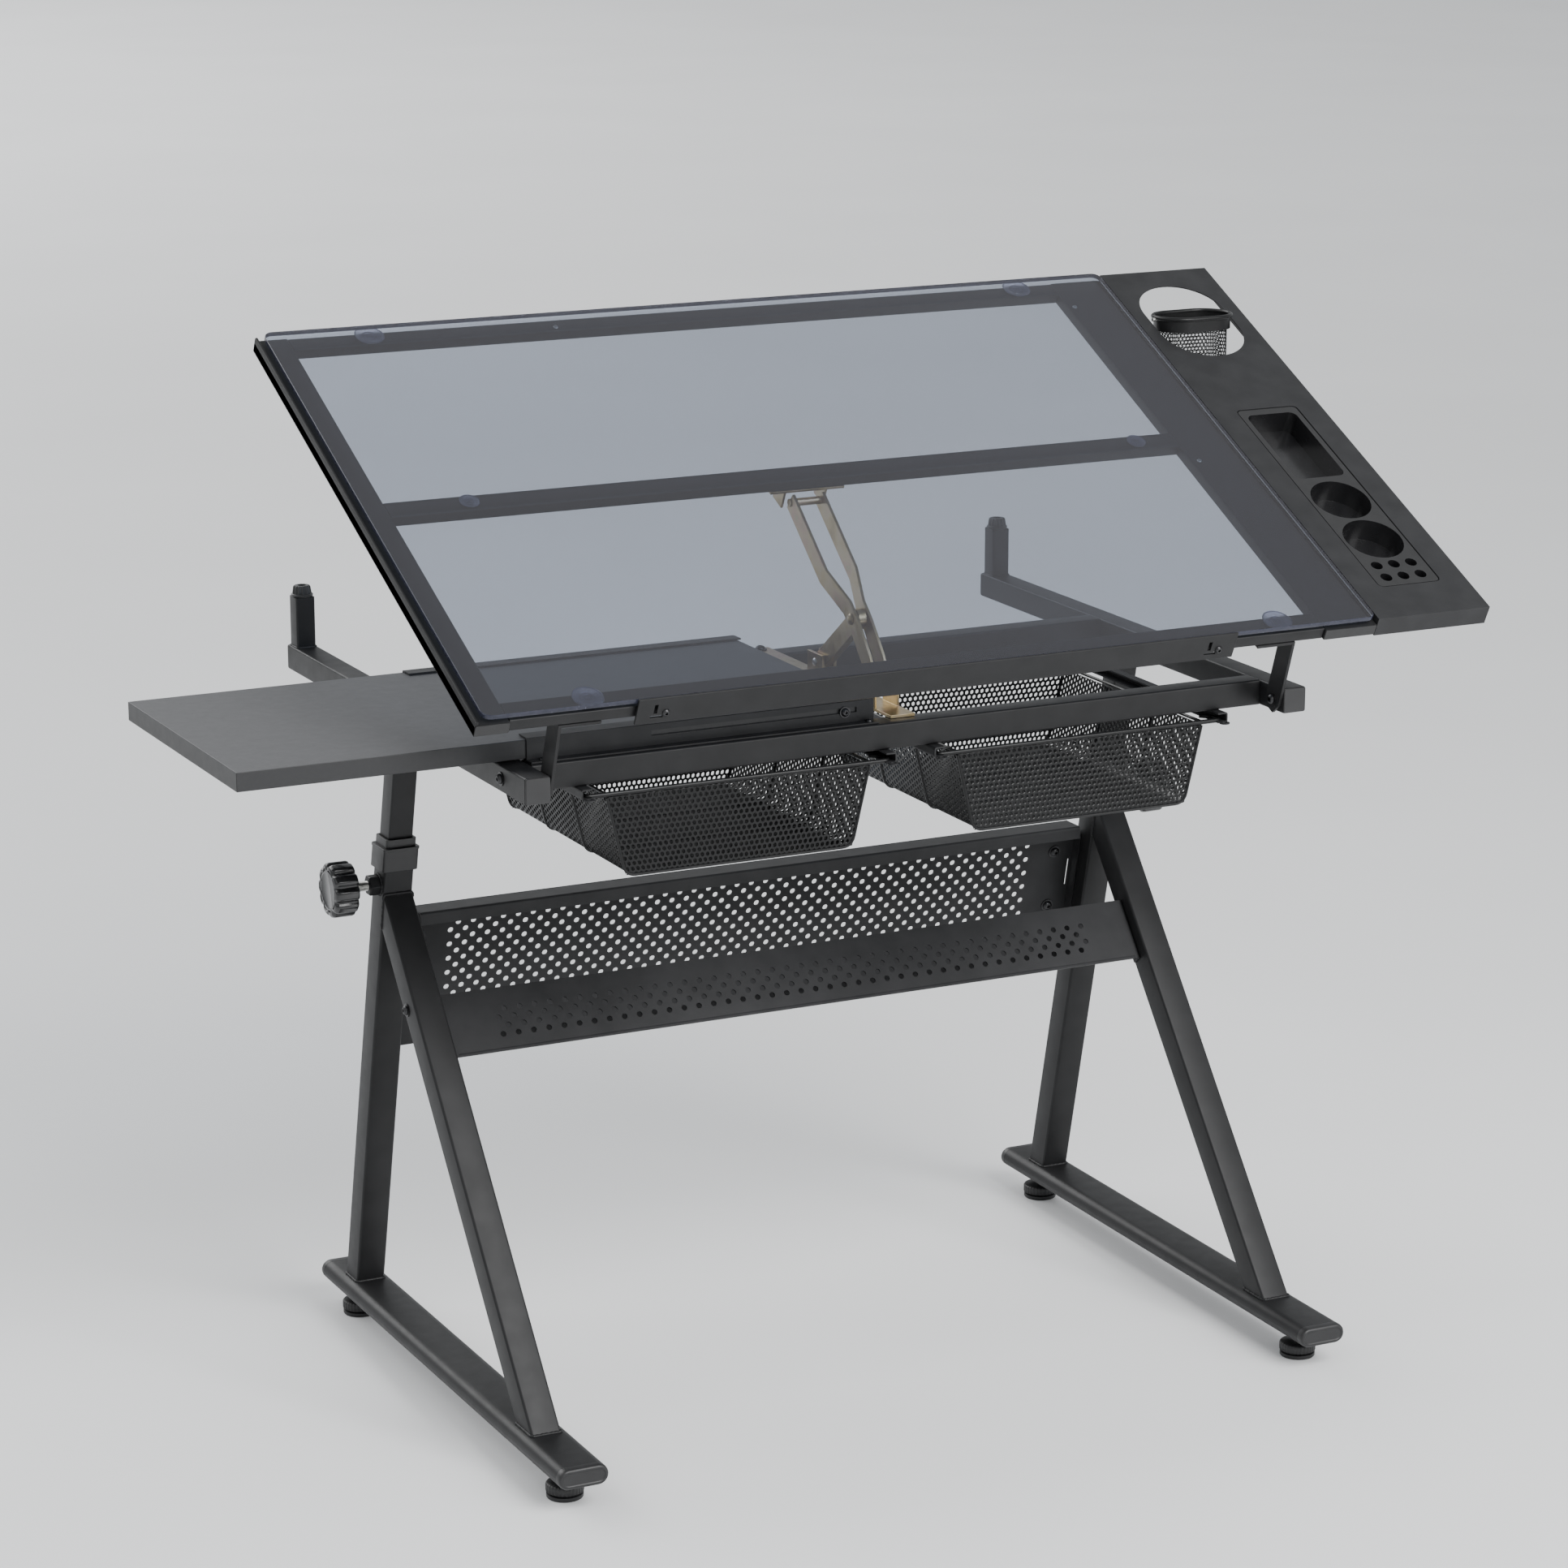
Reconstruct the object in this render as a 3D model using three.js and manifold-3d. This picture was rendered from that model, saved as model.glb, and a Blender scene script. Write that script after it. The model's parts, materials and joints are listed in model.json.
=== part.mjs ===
// A height-adjustable drafting table: steel frame on two levelled feet, telescoping legs,
// a tilting glass top with a tool tray, a sliding side shelf and two mesh drawers.
// Millimetres, +Z up, X along the table, the user sits at -Y.
import * as THREE from "three";
import { mergeVertices } from "three/addons/utils/BufferGeometryUtils.js";
import Module from "manifold-3d";

const wasm = await Module();
wasm.setup();

// ---- driving dimensions ----
const GAP = 0.3; // clearance between neighbouring pieces
const OVER = 1; // how far a cut runs past a face, or a joined piece into its neighbour

const FRAME_X = 398; // half distance between the two leg frames
const FOOT = { width: 50, height: 20, half: 308, top: 45, capLength: 9 };
const LEVELLER = { y: 262, radius: 17, height: 15, stem: 4, rim: 4, flare: 1 };
const LEG = { size: 30, wall: 2, lean: THREE.MathUtils.degToRad(13.2), footY: 245.8, top: 524 };
const FRONT_LEG = { lean: THREE.MathUtils.degToRad(38.9), frontY: -221.5 };
const COLUMN = { size: 25, length: 420 };
const RAIL = { size: 25, front: -224, back: 391, top: 675 };
const POST = { size: 20, front: 367, height: 51 };
const BUMPER = { height: 11, bottom: 11, top: 8.5, rim: 2 };
const CROSSBAR = { size: 25, frontY: -180, backY: 130 };

const COLLAR = { outer: 36, skirt: 21, lip: 3.5, neck: 31, neckHeight: 9 };
const KNOB = {
  z: 486, face: 466, length: 25, radius: 27, flute: 2.2, lobes: 8, stud: 6, studDepth: 4,
  nut: 11, nutLength: 12, threadDepth: 3,
};

const TUBE_WALL = 1.5; // rolled steel tube
const SHEET = 1.5; // folded sheet metal
const BACK_PANEL = {
  top: 452, bottom: 299, behind: 16, flange: 26.5, lip: 13, tab: 13, tabTop: 438, edge: 12,
};
const FRONT_PANEL = { top: 388, length: 66, tab: 15, setBack: 2, floor: 62 };

const SHELF = { left: -660, right: -33.5, front: -163.5, back: 138.5, bottom: 677.3, thick: 18 };
const CHANNEL = { left: -384, right: -31, height: 22, flange: 18, foot: 11 };

const DRAWER = { centre: 181, rail: 161, front: -190, back: 84, top: 640, bottom: 562 };
const BASKET = { topHalf: 136, bottomHalf: 117, wall: 1.2, rim: 4, wing: 2.5, wingGap: 2 };
const DRAWER_RAIL = { width: 11, height: 10, front: -192, back: 155 };

const TILT = THREE.MathUtils.degToRad(25.8);
const TOP = { frontY: -251.7, frontZ: 743.9, left: -461, right: 471, depth: 607, glass: 5, corner: 8 };
const BAR = {
  top: -9, thick: 12, left: -468, leftInner: -434, rightInner: 415, right: 473.5, span: [-1, 606],
  lip: 3, lipHeight: 4,
};
const BAR_DEPTHS = { front: [1, 27], middle: [309, 332], back: [587, 606] };
const TILT_PIVOT = { y: -208, z: 662 };
const HINGE = { thick: 3, flange: 42, foot: 6, drop: 12, waist: 12, front: 3, back: 20 };
const CUPS = { x: [-353, 369], v: [17.5, 318.5, 597.5], radius: [15, 10, 15], foot: 0.45, neck: 0.5 };

const TRAY = { left: 474, right: 603, front: -1, back: 607, top: -3, drop: 20 };
const TRAY_HOLE = { x: 537, v: 513, width: 96, length: 131 };
const ORGANIZER = {
  x: 538.5, halfX: 35, front: 48, back: 350, depth: 26, corner: 5, seam: 0.9, flange: 5, wall: 2,
  sunk: 0.5,
  pocket: { v: 285, halfX: 29, halfV: 56, corner: 8 },
  holders: { v: [189.4, 122.8], radius: 31.5 },
  pencils: { v: [61.5, 80.8], apart: 20, radius: 6.2 },
};
const PENCIL_CUP = { halfX: 44, halfY: 29, depth: 94, above: 4, wall: 1.5, pin: 2, pinReach: 4 };
const CUP_RISE = 4; // height of the cup's pins above the tray
const LEDGE = { halfX: 312.5, top: 1.6, height: 28, thick: 2.5, v: -1.6 };

const LIFT = {
  strip: 3, width: 19, wide: 16, narrow: 7, pin: 4, strutThick: 8, strutWidth: 19,
  headOffset: { y: -1.5, z: -1.7 }, tailRise: 2,
};
const BASE_EARS = { front: -133, back: -103, top: 716, inner: 11, outer: 13 };
const PAWL = { y: 4, z: 695, halfX: 8, front: 17, back: 17, ear: 15, rise: 9, sole: 2.2, gap: 0.6 };
const TOP_PLATE = { halfX: 40, front: 309, back: 332, thick: 2.5, earFront: 312, drop: 22, gap: 3.5 };

const MATERIALS = {
  powderCoat: { color: 0x232427, roughness: 0.55, metalness: 0.3 },
  blackPlastic: { color: 0x101113, roughness: 0.4, metalness: 0 },
  rubber: { color: 0x1a1a1a, roughness: 0.8, metalness: 0 },
  darkBoard: { color: 0x3c3d40, roughness: 0.5, metalness: 0 },
  blueGlass: { color: 0xa9bccb, roughness: 0.05, metalness: 0 },
  clearVinyl: { color: 0xd9d2e4, roughness: 0.3, metalness: 0 },
  yellowZinc: { color: 0xc8b98c, roughness: 0.35, metalness: 0.8 },
  wireMesh: { color: 0x1b1c1e, roughness: 0.5, metalness: 0.4 },
};

// ---- solids ----
function solidOf(geometry) {
  const bare = new THREE.BufferGeometry();
  bare.setAttribute("position", geometry.getAttribute("position"));
  if (geometry.index) bare.setIndex(geometry.index);
  const merged = mergeVertices(bare, 1e-4);
  return new wasm.Manifold(
    new wasm.Mesh({
      numProp: 3,
      vertProperties: new Float32Array(merged.attributes.position.array),
      triVerts: new Uint32Array(merged.index.array),
    }),
  );
}

function geometryOf(solid) {
  const mesh = solid.getMesh();
  const geometry = new THREE.BufferGeometry();
  geometry.setAttribute("position", new THREE.BufferAttribute(mesh.vertProperties, 3));
  geometry.setIndex(new THREE.BufferAttribute(mesh.triVerts, 1));
  geometry.computeVertexNormals();
  return geometry;
}

const join = (first, ...rest) =>
  geometryOf(rest.reduce((sum, g) => sum.add(solidOf(g)), solidOf(first)));
const cut = (first, ...rest) =>
  geometryOf(rest.reduce((sum, g) => sum.subtract(solidOf(g)), solidOf(first)));

// Two numbers, the lower one first.
const ordered = (a, b) => [Math.min(a, b), Math.max(a, b)];

// A box given by its lowest and highest corner.
function box(x0, x1, y0, y1, z0, z1) {
  const geometry = new THREE.BoxGeometry(x1 - x0, y1 - y0, z1 - z0);
  return geometry.translate((x0 + x1) / 2, (y0 + y1) / 2, (z0 + z1) / 2);
}

// A square or flat tube along X or Y, open at both ends.
function tube(axis, x0, x1, y0, y1, z0, z1, wall) {
  const dx = axis === "x" ? -OVER : wall;
  const dy = axis === "y" ? -OVER : wall;
  const bore = box(x0 + dx, x1 - dx, y0 + dy, y1 - dy, z0 + wall, z1 - wall);
  return cut(box(x0, x1, y0, y1, z0, z1), bore);
}

// A closed outline of [x, y] points, extruded upwards from z0 to z1.
function prism(points, z0, z1, curveSegments = 6) {
  const shape = Array.isArray(points)
    ? new THREE.Shape(points.map(([x, y]) => new THREE.Vector2(x, y)))
    : points;
  const options = { depth: z1 - z0, bevelEnabled: false, curveSegments };
  return new THREE.ExtrudeGeometry(shape, options).translate(0, 0, z0);
}

// The same outline read as [y, z] points and extruded along X from x0 to x1.
function sidePrism(points, x0, x1, curveSegments = 6) {
  const geometry = prism(points, x0, x1, curveSegments);
  const turn = new THREE.Matrix4().makeBasis(
    new THREE.Vector3(0, 1, 0),
    new THREE.Vector3(0, 0, 1),
    new THREE.Vector3(1, 0, 0),
  );
  return geometry.applyMatrix4(turn);
}

// A cylinder along Z, X or Y between two places on its axis.
function rod(axis, radius, from, to, a, b, sides = 20) {
  const geometry = new THREE.CylinderGeometry(radius, radius, to - from, sides);
  if (axis === "x") return geometry.rotateZ(Math.PI / 2).translate((from + to) / 2, a, b);
  if (axis === "y") return geometry.translate(a, (from + to) / 2, b);
  return geometry.rotateX(Math.PI / 2).translate(a, b, (from + to) / 2);
}

// A rounded rectangle outline centred on (x, y).
function roundedOutline(x, y, halfX, halfY, radius) {
  const shape = new THREE.Shape();
  const corners = [
    [x + halfX - radius, y - halfY + radius, -Math.PI / 2],
    [x + halfX - radius, y + halfY - radius, 0],
    [x - halfX + radius, y + halfY - radius, Math.PI / 2],
    [x - halfX + radius, y - halfY + radius, Math.PI],
  ];
  for (const [cx, cy, start] of corners) {
    shape.absarc(cx, cy, radius, start, start + Math.PI / 2, false);
  }
  shape.closePath();
  return shape;
}

// A solid that joins a row of rectangles, each given by four corners.
function loft(sections) {
  const positions = [];
  const face = (a, b, c, d) => positions.push(...a, ...b, ...c, ...a, ...c, ...d);
  sections.slice(1).forEach((section, i) => {
    const before = sections[i];
    for (let k = 0; k < 4; k += 1) {
      const next = (k + 1) % 4;
      face(before[k], before[next], section[next], section[k]);
    }
  });
  const last = sections[sections.length - 1];
  face(...[...sections[0]].reverse());
  face(...last);
  const geometry = new THREE.BufferGeometry();
  geometry.setAttribute("position", new THREE.Float32BufferAttribute(positions, 3));
  return mergeVertices(geometry, 1e-4);
}

// ---- the scene ----
const table = new THREE.Group();
const topGroup = new THREE.Group();
topGroup.position.set(0, TOP.frontY, TOP.frontZ);
topGroup.rotation.x = TILT;
table.add(topGroup);

function add(name, material, geometry, parent = table) {
  geometry.computeVertexNormals();
  const mesh = new THREE.Mesh(geometry, new THREE.MeshStandardMaterial(MATERIALS[material]));
  mesh.name = name;
  parent.add(mesh);
}

const SIDES = [
  { name: "left", sign: -1 },
  { name: "right", sign: 1 },
];

// Centre of the back leg at a height.
const legY = (z) => LEG.footY - (z - FOOT.top) * Math.tan(LEG.lean);

// A square bar along the leaning leg line, between two heights, with level ends.
function leaningBar(size, x, z0, z1) {
  const half = size / 2 / Math.cos(LEG.lean);
  const outline = [
    [legY(z0) - half, z0],
    [legY(z0) + half, z0],
    [legY(z1) + half, z1],
    [legY(z1) - half, z1],
  ];
  return sidePrism(outline, x - size / 2, x + size / 2);
}

function footBar(x) {
  const r = FOOT.height / 2;
  const outline = roundedOutline(0, 0, FOOT.width / 2, r, r - 0.01);
  const inner = r - TUBE_WALL;
  const bore = roundedOutline(0, 0, FOOT.width / 2 - TUBE_WALL, inner, inner - 0.01);
  const end = FOOT.half - FOOT.capLength;
  const bar = cut(prism(outline, -end, end, 5), prism(bore, -end - OVER, end + OVER, 5));
  return bar.rotateX(Math.PI / 2).translate(x, 0, FOOT.top - r);
}

function footCap(x, end) {
  const r = FOOT.height / 2;
  const inner = FOOT.half - FOOT.capLength + GAP;
  const outline = roundedOutline(0, 0, FOOT.width / 2, r, r - 0.01);
  const cap = prism(outline, inner, FOOT.half, 5).rotateX(-Math.PI / 2);
  return cap.rotateZ(end > 0 ? 0 : Math.PI).translate(x, 0, FOOT.top - r);
}

function levellingFoot(x, y) {
  const under = FOOT.top - FOOT.height;
  const { radius, height, stem, rim, flare } = LEVELLER;
  const profile = [
    [0, 0],
    [radius, 0],
    [radius + flare, rim],
    [radius - flare, height],
    [stem, height + flare],
    [stem, under - GAP],
    [0, under - GAP],
  ];
  const points = profile.map(([r, z]) => new THREE.Vector2(r, z));
  return new THREE.LatheGeometry(points, 24).rotateX(Math.PI / 2).translate(x, y, 0);
}

function backLeg(x, sign) {
  const outer = leaningBar(LEG.size, x, FOOT.top + GAP, LEG.top);
  const bore = leaningBar(LEG.size - 2 * LEG.wall, x, FOOT.top - OVER, LEG.top + OVER);
  const face = x + (sign * LEG.size) / 2;
  const y = legY(KNOB.z);
  const nutEnd = face + sign * KNOB.nutLength;
  const nut = rod("x", KNOB.nut, ...ordered(face - sign * OVER, nutEnd), y, KNOB.z, 6);
  const threadEnds = ordered(face + sign * KNOB.threadDepth, nutEnd + sign * OVER);
  const thread = rod("x", KNOB.stud + GAP, ...threadEnds, y, KNOB.z);
  return cut(join(cut(outer, bore), nut), thread);
}

// The front leg leans the other way and ends on the back leg's front face.
function frontLeg(x) {
  const slope = Math.tan(FRONT_LEG.lean);
  const legSlope = Math.tan(LEG.lean);
  const backFace = (z) => legY(z) - LEG.size / 2 / Math.cos(LEG.lean) - GAP;
  // The level section, inset by a wall and stretched past both ends for the bore.
  const section = (wall, past) => {
    const inset = wall / Math.cos(FRONT_LEG.lean);
    const wide = LEG.size / Math.cos(FRONT_LEG.lean);
    const frontAt = (z) => FRONT_LEG.frontY + (z - FOOT.top) * slope + inset;
    const backAt = (z) => frontAt(z) + wide - 2 * inset;
    const z0 = FOOT.top + GAP - past;
    const meets = (offset) => (backFace(0) + past - offset(0)) / (slope + legSlope);
    const upper = meets(frontAt);
    const lower = meets(backAt);
    return [
      [frontAt(z0), z0],
      [backAt(z0), z0],
      [backAt(lower), lower],
      [frontAt(upper), upper],
    ];
  };
  const half = LEG.size / 2;
  const outer = sidePrism(section(0, 0), x - half, x + half);
  const bore = sidePrism(section(TUBE_WALL, 3), x - half + TUBE_WALL, x + half - TUBE_WALL);
  return cut(outer, bore);
}

// A stepped plastic sleeve over the top of the back leg, which guides the column.
function collar(x) {
  const skirtEnd = LEG.top - COLLAR.skirt;
  const lipTop = LEG.top + COLLAR.lip;
  const neckTop = lipTop + COLLAR.neckHeight;
  const sleeve = leaningBar(COLLAR.outer, x, skirtEnd, lipTop);
  const neck = leaningBar(COLLAR.neck, x, lipTop - OVER, neckTop);
  const leg = leaningBar(LEG.size + 2 * GAP, x, skirtEnd - OVER, LEG.top + GAP);
  const column = leaningBar(COLUMN.size + 2 * GAP, x, LEG.top - OVER, neckTop + OVER);
  return cut(join(sleeve, neck), leg, column);
}

function knob(sign) {
  const outer = KNOB.face;
  const inner = outer - KNOB.length;
  const { lobes, flute, radius } = KNOB;
  const steps = lobes * 6;
  const outline = Array.from({ length: steps }, (_, i) => {
    const angle = (i / steps) * 2 * Math.PI;
    const r = radius - flute + flute * Math.cos(lobes * angle);
    return [r * Math.cos(angle), r * Math.sin(angle)];
  });
  const y = legY(KNOB.z);
  const grip = sidePrism(outline, inner, outer).translate(0, y, KNOB.z);
  const studEnd = FRAME_X + LEG.size / 2 + KNOB.studDepth;
  const stud = rod("x", KNOB.stud, studEnd, inner + OVER, y, KNOB.z);
  const both = join(grip, stud);
  return sign > 0 ? both : mirrored(both);
}

// Mirrors a geometry across X = 0 and keeps its faces outward.
function mirrored(geometry) {
  const copy = geometry.clone().scale(-1, 1, 1);
  const index = copy.index.array;
  for (let i = 0; i < index.length; i += 3) {
    [index[i], index[i + 1]] = [index[i + 1], index[i]];
  }
  return copy;
}

// The back of the rack: a sheet behind the back legs' middle, with a folded top and end tabs.
function backPanel() {
  const half = FRAME_X - LEG.size / 2 - GAP;
  const { top, bottom, behind, flange, lip, tab, tabTop, edge } = BACK_PANEL;
  const face = (z) => legY(z) + behind;
  const fold = face(top) - flange;
  const sheet = [
    [face(bottom), bottom],
    [face(bottom) + SHEET, bottom],
    [face(top) + SHEET, top],
    [fold, top],
    [fold, top - lip],
    [fold + SHEET, top - lip],
    [fold + SHEET, top - SHEET],
    [face(top - SHEET), top - SHEET],
  ];
  // The leaning strip that reaches forward from the back of the sheet, below the folded top.
  const strip = (forward) => [
    [face(tabTop) - forward, tabTop],
    [face(bottom) - forward, bottom],
    [face(bottom) + SHEET, bottom],
    [face(tabTop) + SHEET, tabTop],
  ];
  const ends = [-1, 1].flatMap((sign) => {
    const outer = sign * half;
    const margin = ordered(outer, outer - sign * (edge + OVER));
    const tabEnds = ordered(outer, outer - sign * SHEET);
    return [sidePrism(strip(0), ...margin), sidePrism(strip(tab), ...tabEnds)];
  });
  return join(sidePrism(sheet, edge - half, half - edge), ...ends);
}

// The front of the rack: a sheet between the front legs, with a floor folded back and end tabs.
function frontPanel() {
  const half = FRAME_X - LEG.size / 2 - GAP;
  const { top, length, tab, setBack, floor } = FRONT_PANEL;
  const slope = Math.tan(FRONT_LEG.lean);
  const halfLeg = LEG.size / 2 / Math.cos(FRONT_LEG.lean);
  const y = (z) => FRONT_LEG.frontY + (z - FOOT.top) * slope + halfLeg - setBack;
  const bottom = top - length * Math.cos(FRONT_LEG.lean);
  const thick = SHEET / Math.cos(FRONT_LEG.lean);
  const strip = (deep) => [
    [y(bottom), bottom],
    [y(bottom) + deep, bottom],
    [y(top) + deep, top],
    [y(top), top],
  ];
  const face = sidePrism(strip(thick), -half, half);
  const under = box(-half, half, y(bottom), y(bottom) + floor, bottom, bottom + SHEET);
  const tabs = [-1, 1].map((sign) => {
    const ends = ordered(sign * half, sign * (half - SHEET));
    return sidePrism(strip(tab), ...ends);
  });
  return join(face, under, ...tabs);
}

for (const { name, sign } of SIDES) {
  const x = sign * FRAME_X;
  add(`foot_bar_${name}`, "powderCoat", footBar(x));
  add(`foot_cap_front_${name}`, "blackPlastic", footCap(x, -1));
  add(`foot_cap_back_${name}`, "blackPlastic", footCap(x, 1));
  add(`levelling_foot_front_${name}`, "blackPlastic", levellingFoot(x, -LEVELLER.y));
  add(`levelling_foot_back_${name}`, "blackPlastic", levellingFoot(x, LEVELLER.y));
  add(`back_leg_${name}`, "powderCoat", backLeg(x, sign));
  add(`front_leg_${name}`, "powderCoat", frontLeg(x));
  add(`leg_collar_${name}`, "blackPlastic", collar(x));
  add(`clamp_knob_${name}`, "blackPlastic", knob(sign));
}
add("rack_back_panel", "powderCoat", backPanel());
add("rack_front_panel", "powderCoat", frontPanel());

// ---- the upper frame, which slides up on its columns ----
function column(x) {
  const under = RAIL.top - RAIL.size;
  return leaningBar(COLUMN.size, x, under - COLUMN.length * Math.cos(LEG.lean), under - GAP);
}

function sideRail(x) {
  const side = RAIL.size / 2;
  const rail = tube(
    "y", x - side, x + side, RAIL.front, RAIL.back, RAIL.top - RAIL.size, RAIL.top, TUBE_WALL,
  );
  const half = POST.size / 2;
  const postTop = RAIL.top + POST.height;
  const { front, size } = POST;
  const post = box(x - half, x + half, front, front + size, RAIL.top - OVER, postTop);
  const inner = half - TUBE_WALL;
  const bore = box(
    x - inner, x + inner, front + TUBE_WALL, front + size - TUBE_WALL,
    RAIL.top + OVER, postTop + OVER,
  );
  return cut(join(rail, post), bore);
}

function postBumper(x) {
  const z = RAIL.top + POST.height + GAP;
  const profile = [
    [0, 0],
    [BUMPER.bottom, 0],
    [BUMPER.bottom, BUMPER.rim],
    [BUMPER.top, BUMPER.height],
    [0, BUMPER.height],
  ];
  const points = profile.map(([r, h]) => new THREE.Vector2(r, h));
  const plug = new THREE.LatheGeometry(points, 20).rotateX(Math.PI / 2);
  return plug.translate(x, POST.front + POST.size / 2, z);
}

function crossbar(front) {
  const half = FRAME_X - RAIL.size / 2 - GAP;
  const { size } = CROSSBAR;
  return tube("x", -half, half, front, front + size, RAIL.top - size, RAIL.top, TUBE_WALL);
}

// A drawer runner: a C channel whose open side faces +X for open = 1, -X for open = -1.
function drawerRail(web, open) {
  const top = RAIL.top - RAIL.size - GAP;
  const bottom = top - DRAWER_RAIL.height;
  const { width, front, back } = DRAWER_RAIL;
  const hollow = ordered(web + open * SHEET, web + open * (width + OVER));
  const bar = box(...ordered(web, web + open * width), front, back, bottom, top);
  const groove = box(...hollow, front - OVER, back + OVER, bottom + SHEET, top - SHEET);
  return cut(bar, groove);
}

// A shelf runner on top of a crossbar: toward = 1 opens to the back, -1 to the front.
function shelfChannel(web, toward) {
  const z0 = RAIL.top + GAP;
  const z1 = z0 + CHANNEL.height;
  const foot = web - toward * CHANNEL.foot;
  const flange = web + toward * CHANNEL.flange;
  const inner = web + toward * SHEET;
  const outline = [
    [foot, z0],
    [flange, z0],
    [flange, z0 + SHEET],
    [inner, z0 + SHEET],
    [inner, z1 - SHEET],
    [flange, z1 - SHEET],
    [flange, z1],
    [web, z1],
    [web, z0 + SHEET],
    [foot, z0 + SHEET],
  ];
  return sidePrism(outline, CHANNEL.left, CHANNEL.right);
}

function drawer(centre) {
  const { topHalf, bottomHalf, wall, rim, wing, wingGap } = BASKET;
  const z1 = DRAWER.top + rim;
  const trough = (inset, z0, top, y0, y1) => {
    const outline = [
      [centre - bottomHalf + inset, z0],
      [centre + bottomHalf - inset, z0],
      [centre + topHalf - inset, top],
      [centre - topHalf + inset, top],
    ];
    const shape = new THREE.Shape(outline.map(([x, z]) => new THREE.Vector2(x, z)));
    const solid = new THREE.ExtrudeGeometry(shape, { depth: y1 - y0, bevelEnabled: false });
    return solid.rotateX(Math.PI / 2).translate(0, y1, 0);
  };
  const { front, back, bottom } = DRAWER;
  const shell = trough(0, bottom, z1, front, back);
  const hollow = trough(wall, bottom + wall, z1 + OVER, front + wall, back - wall);
  const reach = DRAWER.rail - wingGap - SHEET;
  const wings = [-1, 1].map((side) => {
    const ends = ordered(centre + side * (topHalf - OVER), centre + side * reach);
    return box(...ends, front, back, z1 - wing, z1);
  });
  return cut(join(shell, ...wings), hollow);
}

for (const { name, sign } of SIDES) {
  const x = sign * FRAME_X;
  add(`column_${name}`, "powderCoat", column(x));
  add(`side_rail_${name}`, "powderCoat", sideRail(x));
  add(`post_bumper_${name}`, "rubber", postBumper(x));
  const centre = sign * DRAWER.centre;
  add(`drawer_runner_${name}_a`, "powderCoat", drawerRail(centre - DRAWER.rail, 1));
  add(`drawer_runner_${name}_b`, "powderCoat", drawerRail(centre + DRAWER.rail, -1));
  add(`mesh_drawer_${name}`, "wireMesh", drawer(centre));
}
add("front_crossbar", "powderCoat", crossbar(CROSSBAR.frontY));
add("rear_crossbar", "powderCoat", crossbar(CROSSBAR.backY));
const channelGap = SHEET + GAP;
add("shelf_channel_front", "powderCoat", shelfChannel(SHELF.front - channelGap, 1));
add("shelf_channel_rear", "powderCoat", shelfChannel(SHELF.back + channelGap, -1));
add(
  "side_shelf", "darkBoard",
  box(SHELF.left, SHELF.right, SHELF.front, SHELF.back, SHELF.bottom, SHELF.bottom + SHELF.thick),
);

// ---- the tilting top: local x, v along the slope, n out of the glass ----
const barUnder = BAR.top - BAR.thick;

function topBar(axis, x0, x1, [v0, v1]) {
  return tube(axis, x0, x1, v0, v1, barUnder, BAR.top, TUBE_WALL);
}

function glassTop() {
  const halfX = (TOP.right - TOP.left) / 2;
  const halfV = TOP.depth / 2;
  return prism(roundedOutline(TOP.left + halfX, halfV, halfX, halfV, TOP.corner), -TOP.glass, 0, 4);
}

function sideBarLeft() {
  const bar = topBar("y", BAR.left, BAR.leftInner, BAR.span);
  const lipTop = BAR.top + BAR.lipHeight;
  const lip = box(BAR.left, BAR.left + BAR.lip, ...BAR.span, BAR.top - OVER, lipTop);
  return join(bar, lip);
}

function suctionCup(x, v, radius) {
  const z0 = BAR.top + GAP;
  const z1 = -TOP.glass - GAP;
  const profile = [
    [0, z0],
    [radius * CUPS.foot, z0],
    [radius * CUPS.neck, z0 + OVER],
    [radius, z1 - 2 * GAP],
    [radius, z1],
    [0, z1],
  ];
  const points = profile.map(([r, z]) => new THREE.Vector2(r, z));
  return new THREE.LatheGeometry(points, 20).rotateX(Math.PI / 2).translate(x, v, 0);
}

function trayPanel() {
  const { left, right, front, back, top, drop } = TRAY;
  const outer = box(left, right, front, back, top - drop, top);
  const under = box(
    left + SHEET, right - SHEET, front + SHEET, back - SHEET, top - drop - OVER, top - SHEET,
  );
  const { x, v, width, length } = TRAY_HOLE;
  const sheetCut = [top - SHEET - OVER, top + OVER];
  const oval = roundedOutline(x, v, width / 2, length / 2, width / 2 - 0.5);
  const slot = organizerOutline(GAP + ORGANIZER.seam);
  return cut(outer, under, prism(oval, ...sheetCut, 8), prism(slot, ...sheetCut, 3));
}

// The insert's outline, grown by a margin.
function organizerOutline(margin) {
  const { x, halfX, front, back, corner } = ORGANIZER;
  const half = (back - front) / 2;
  return roundedOutline(x, front + half, halfX + margin, half + margin, corner + margin);
}

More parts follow.
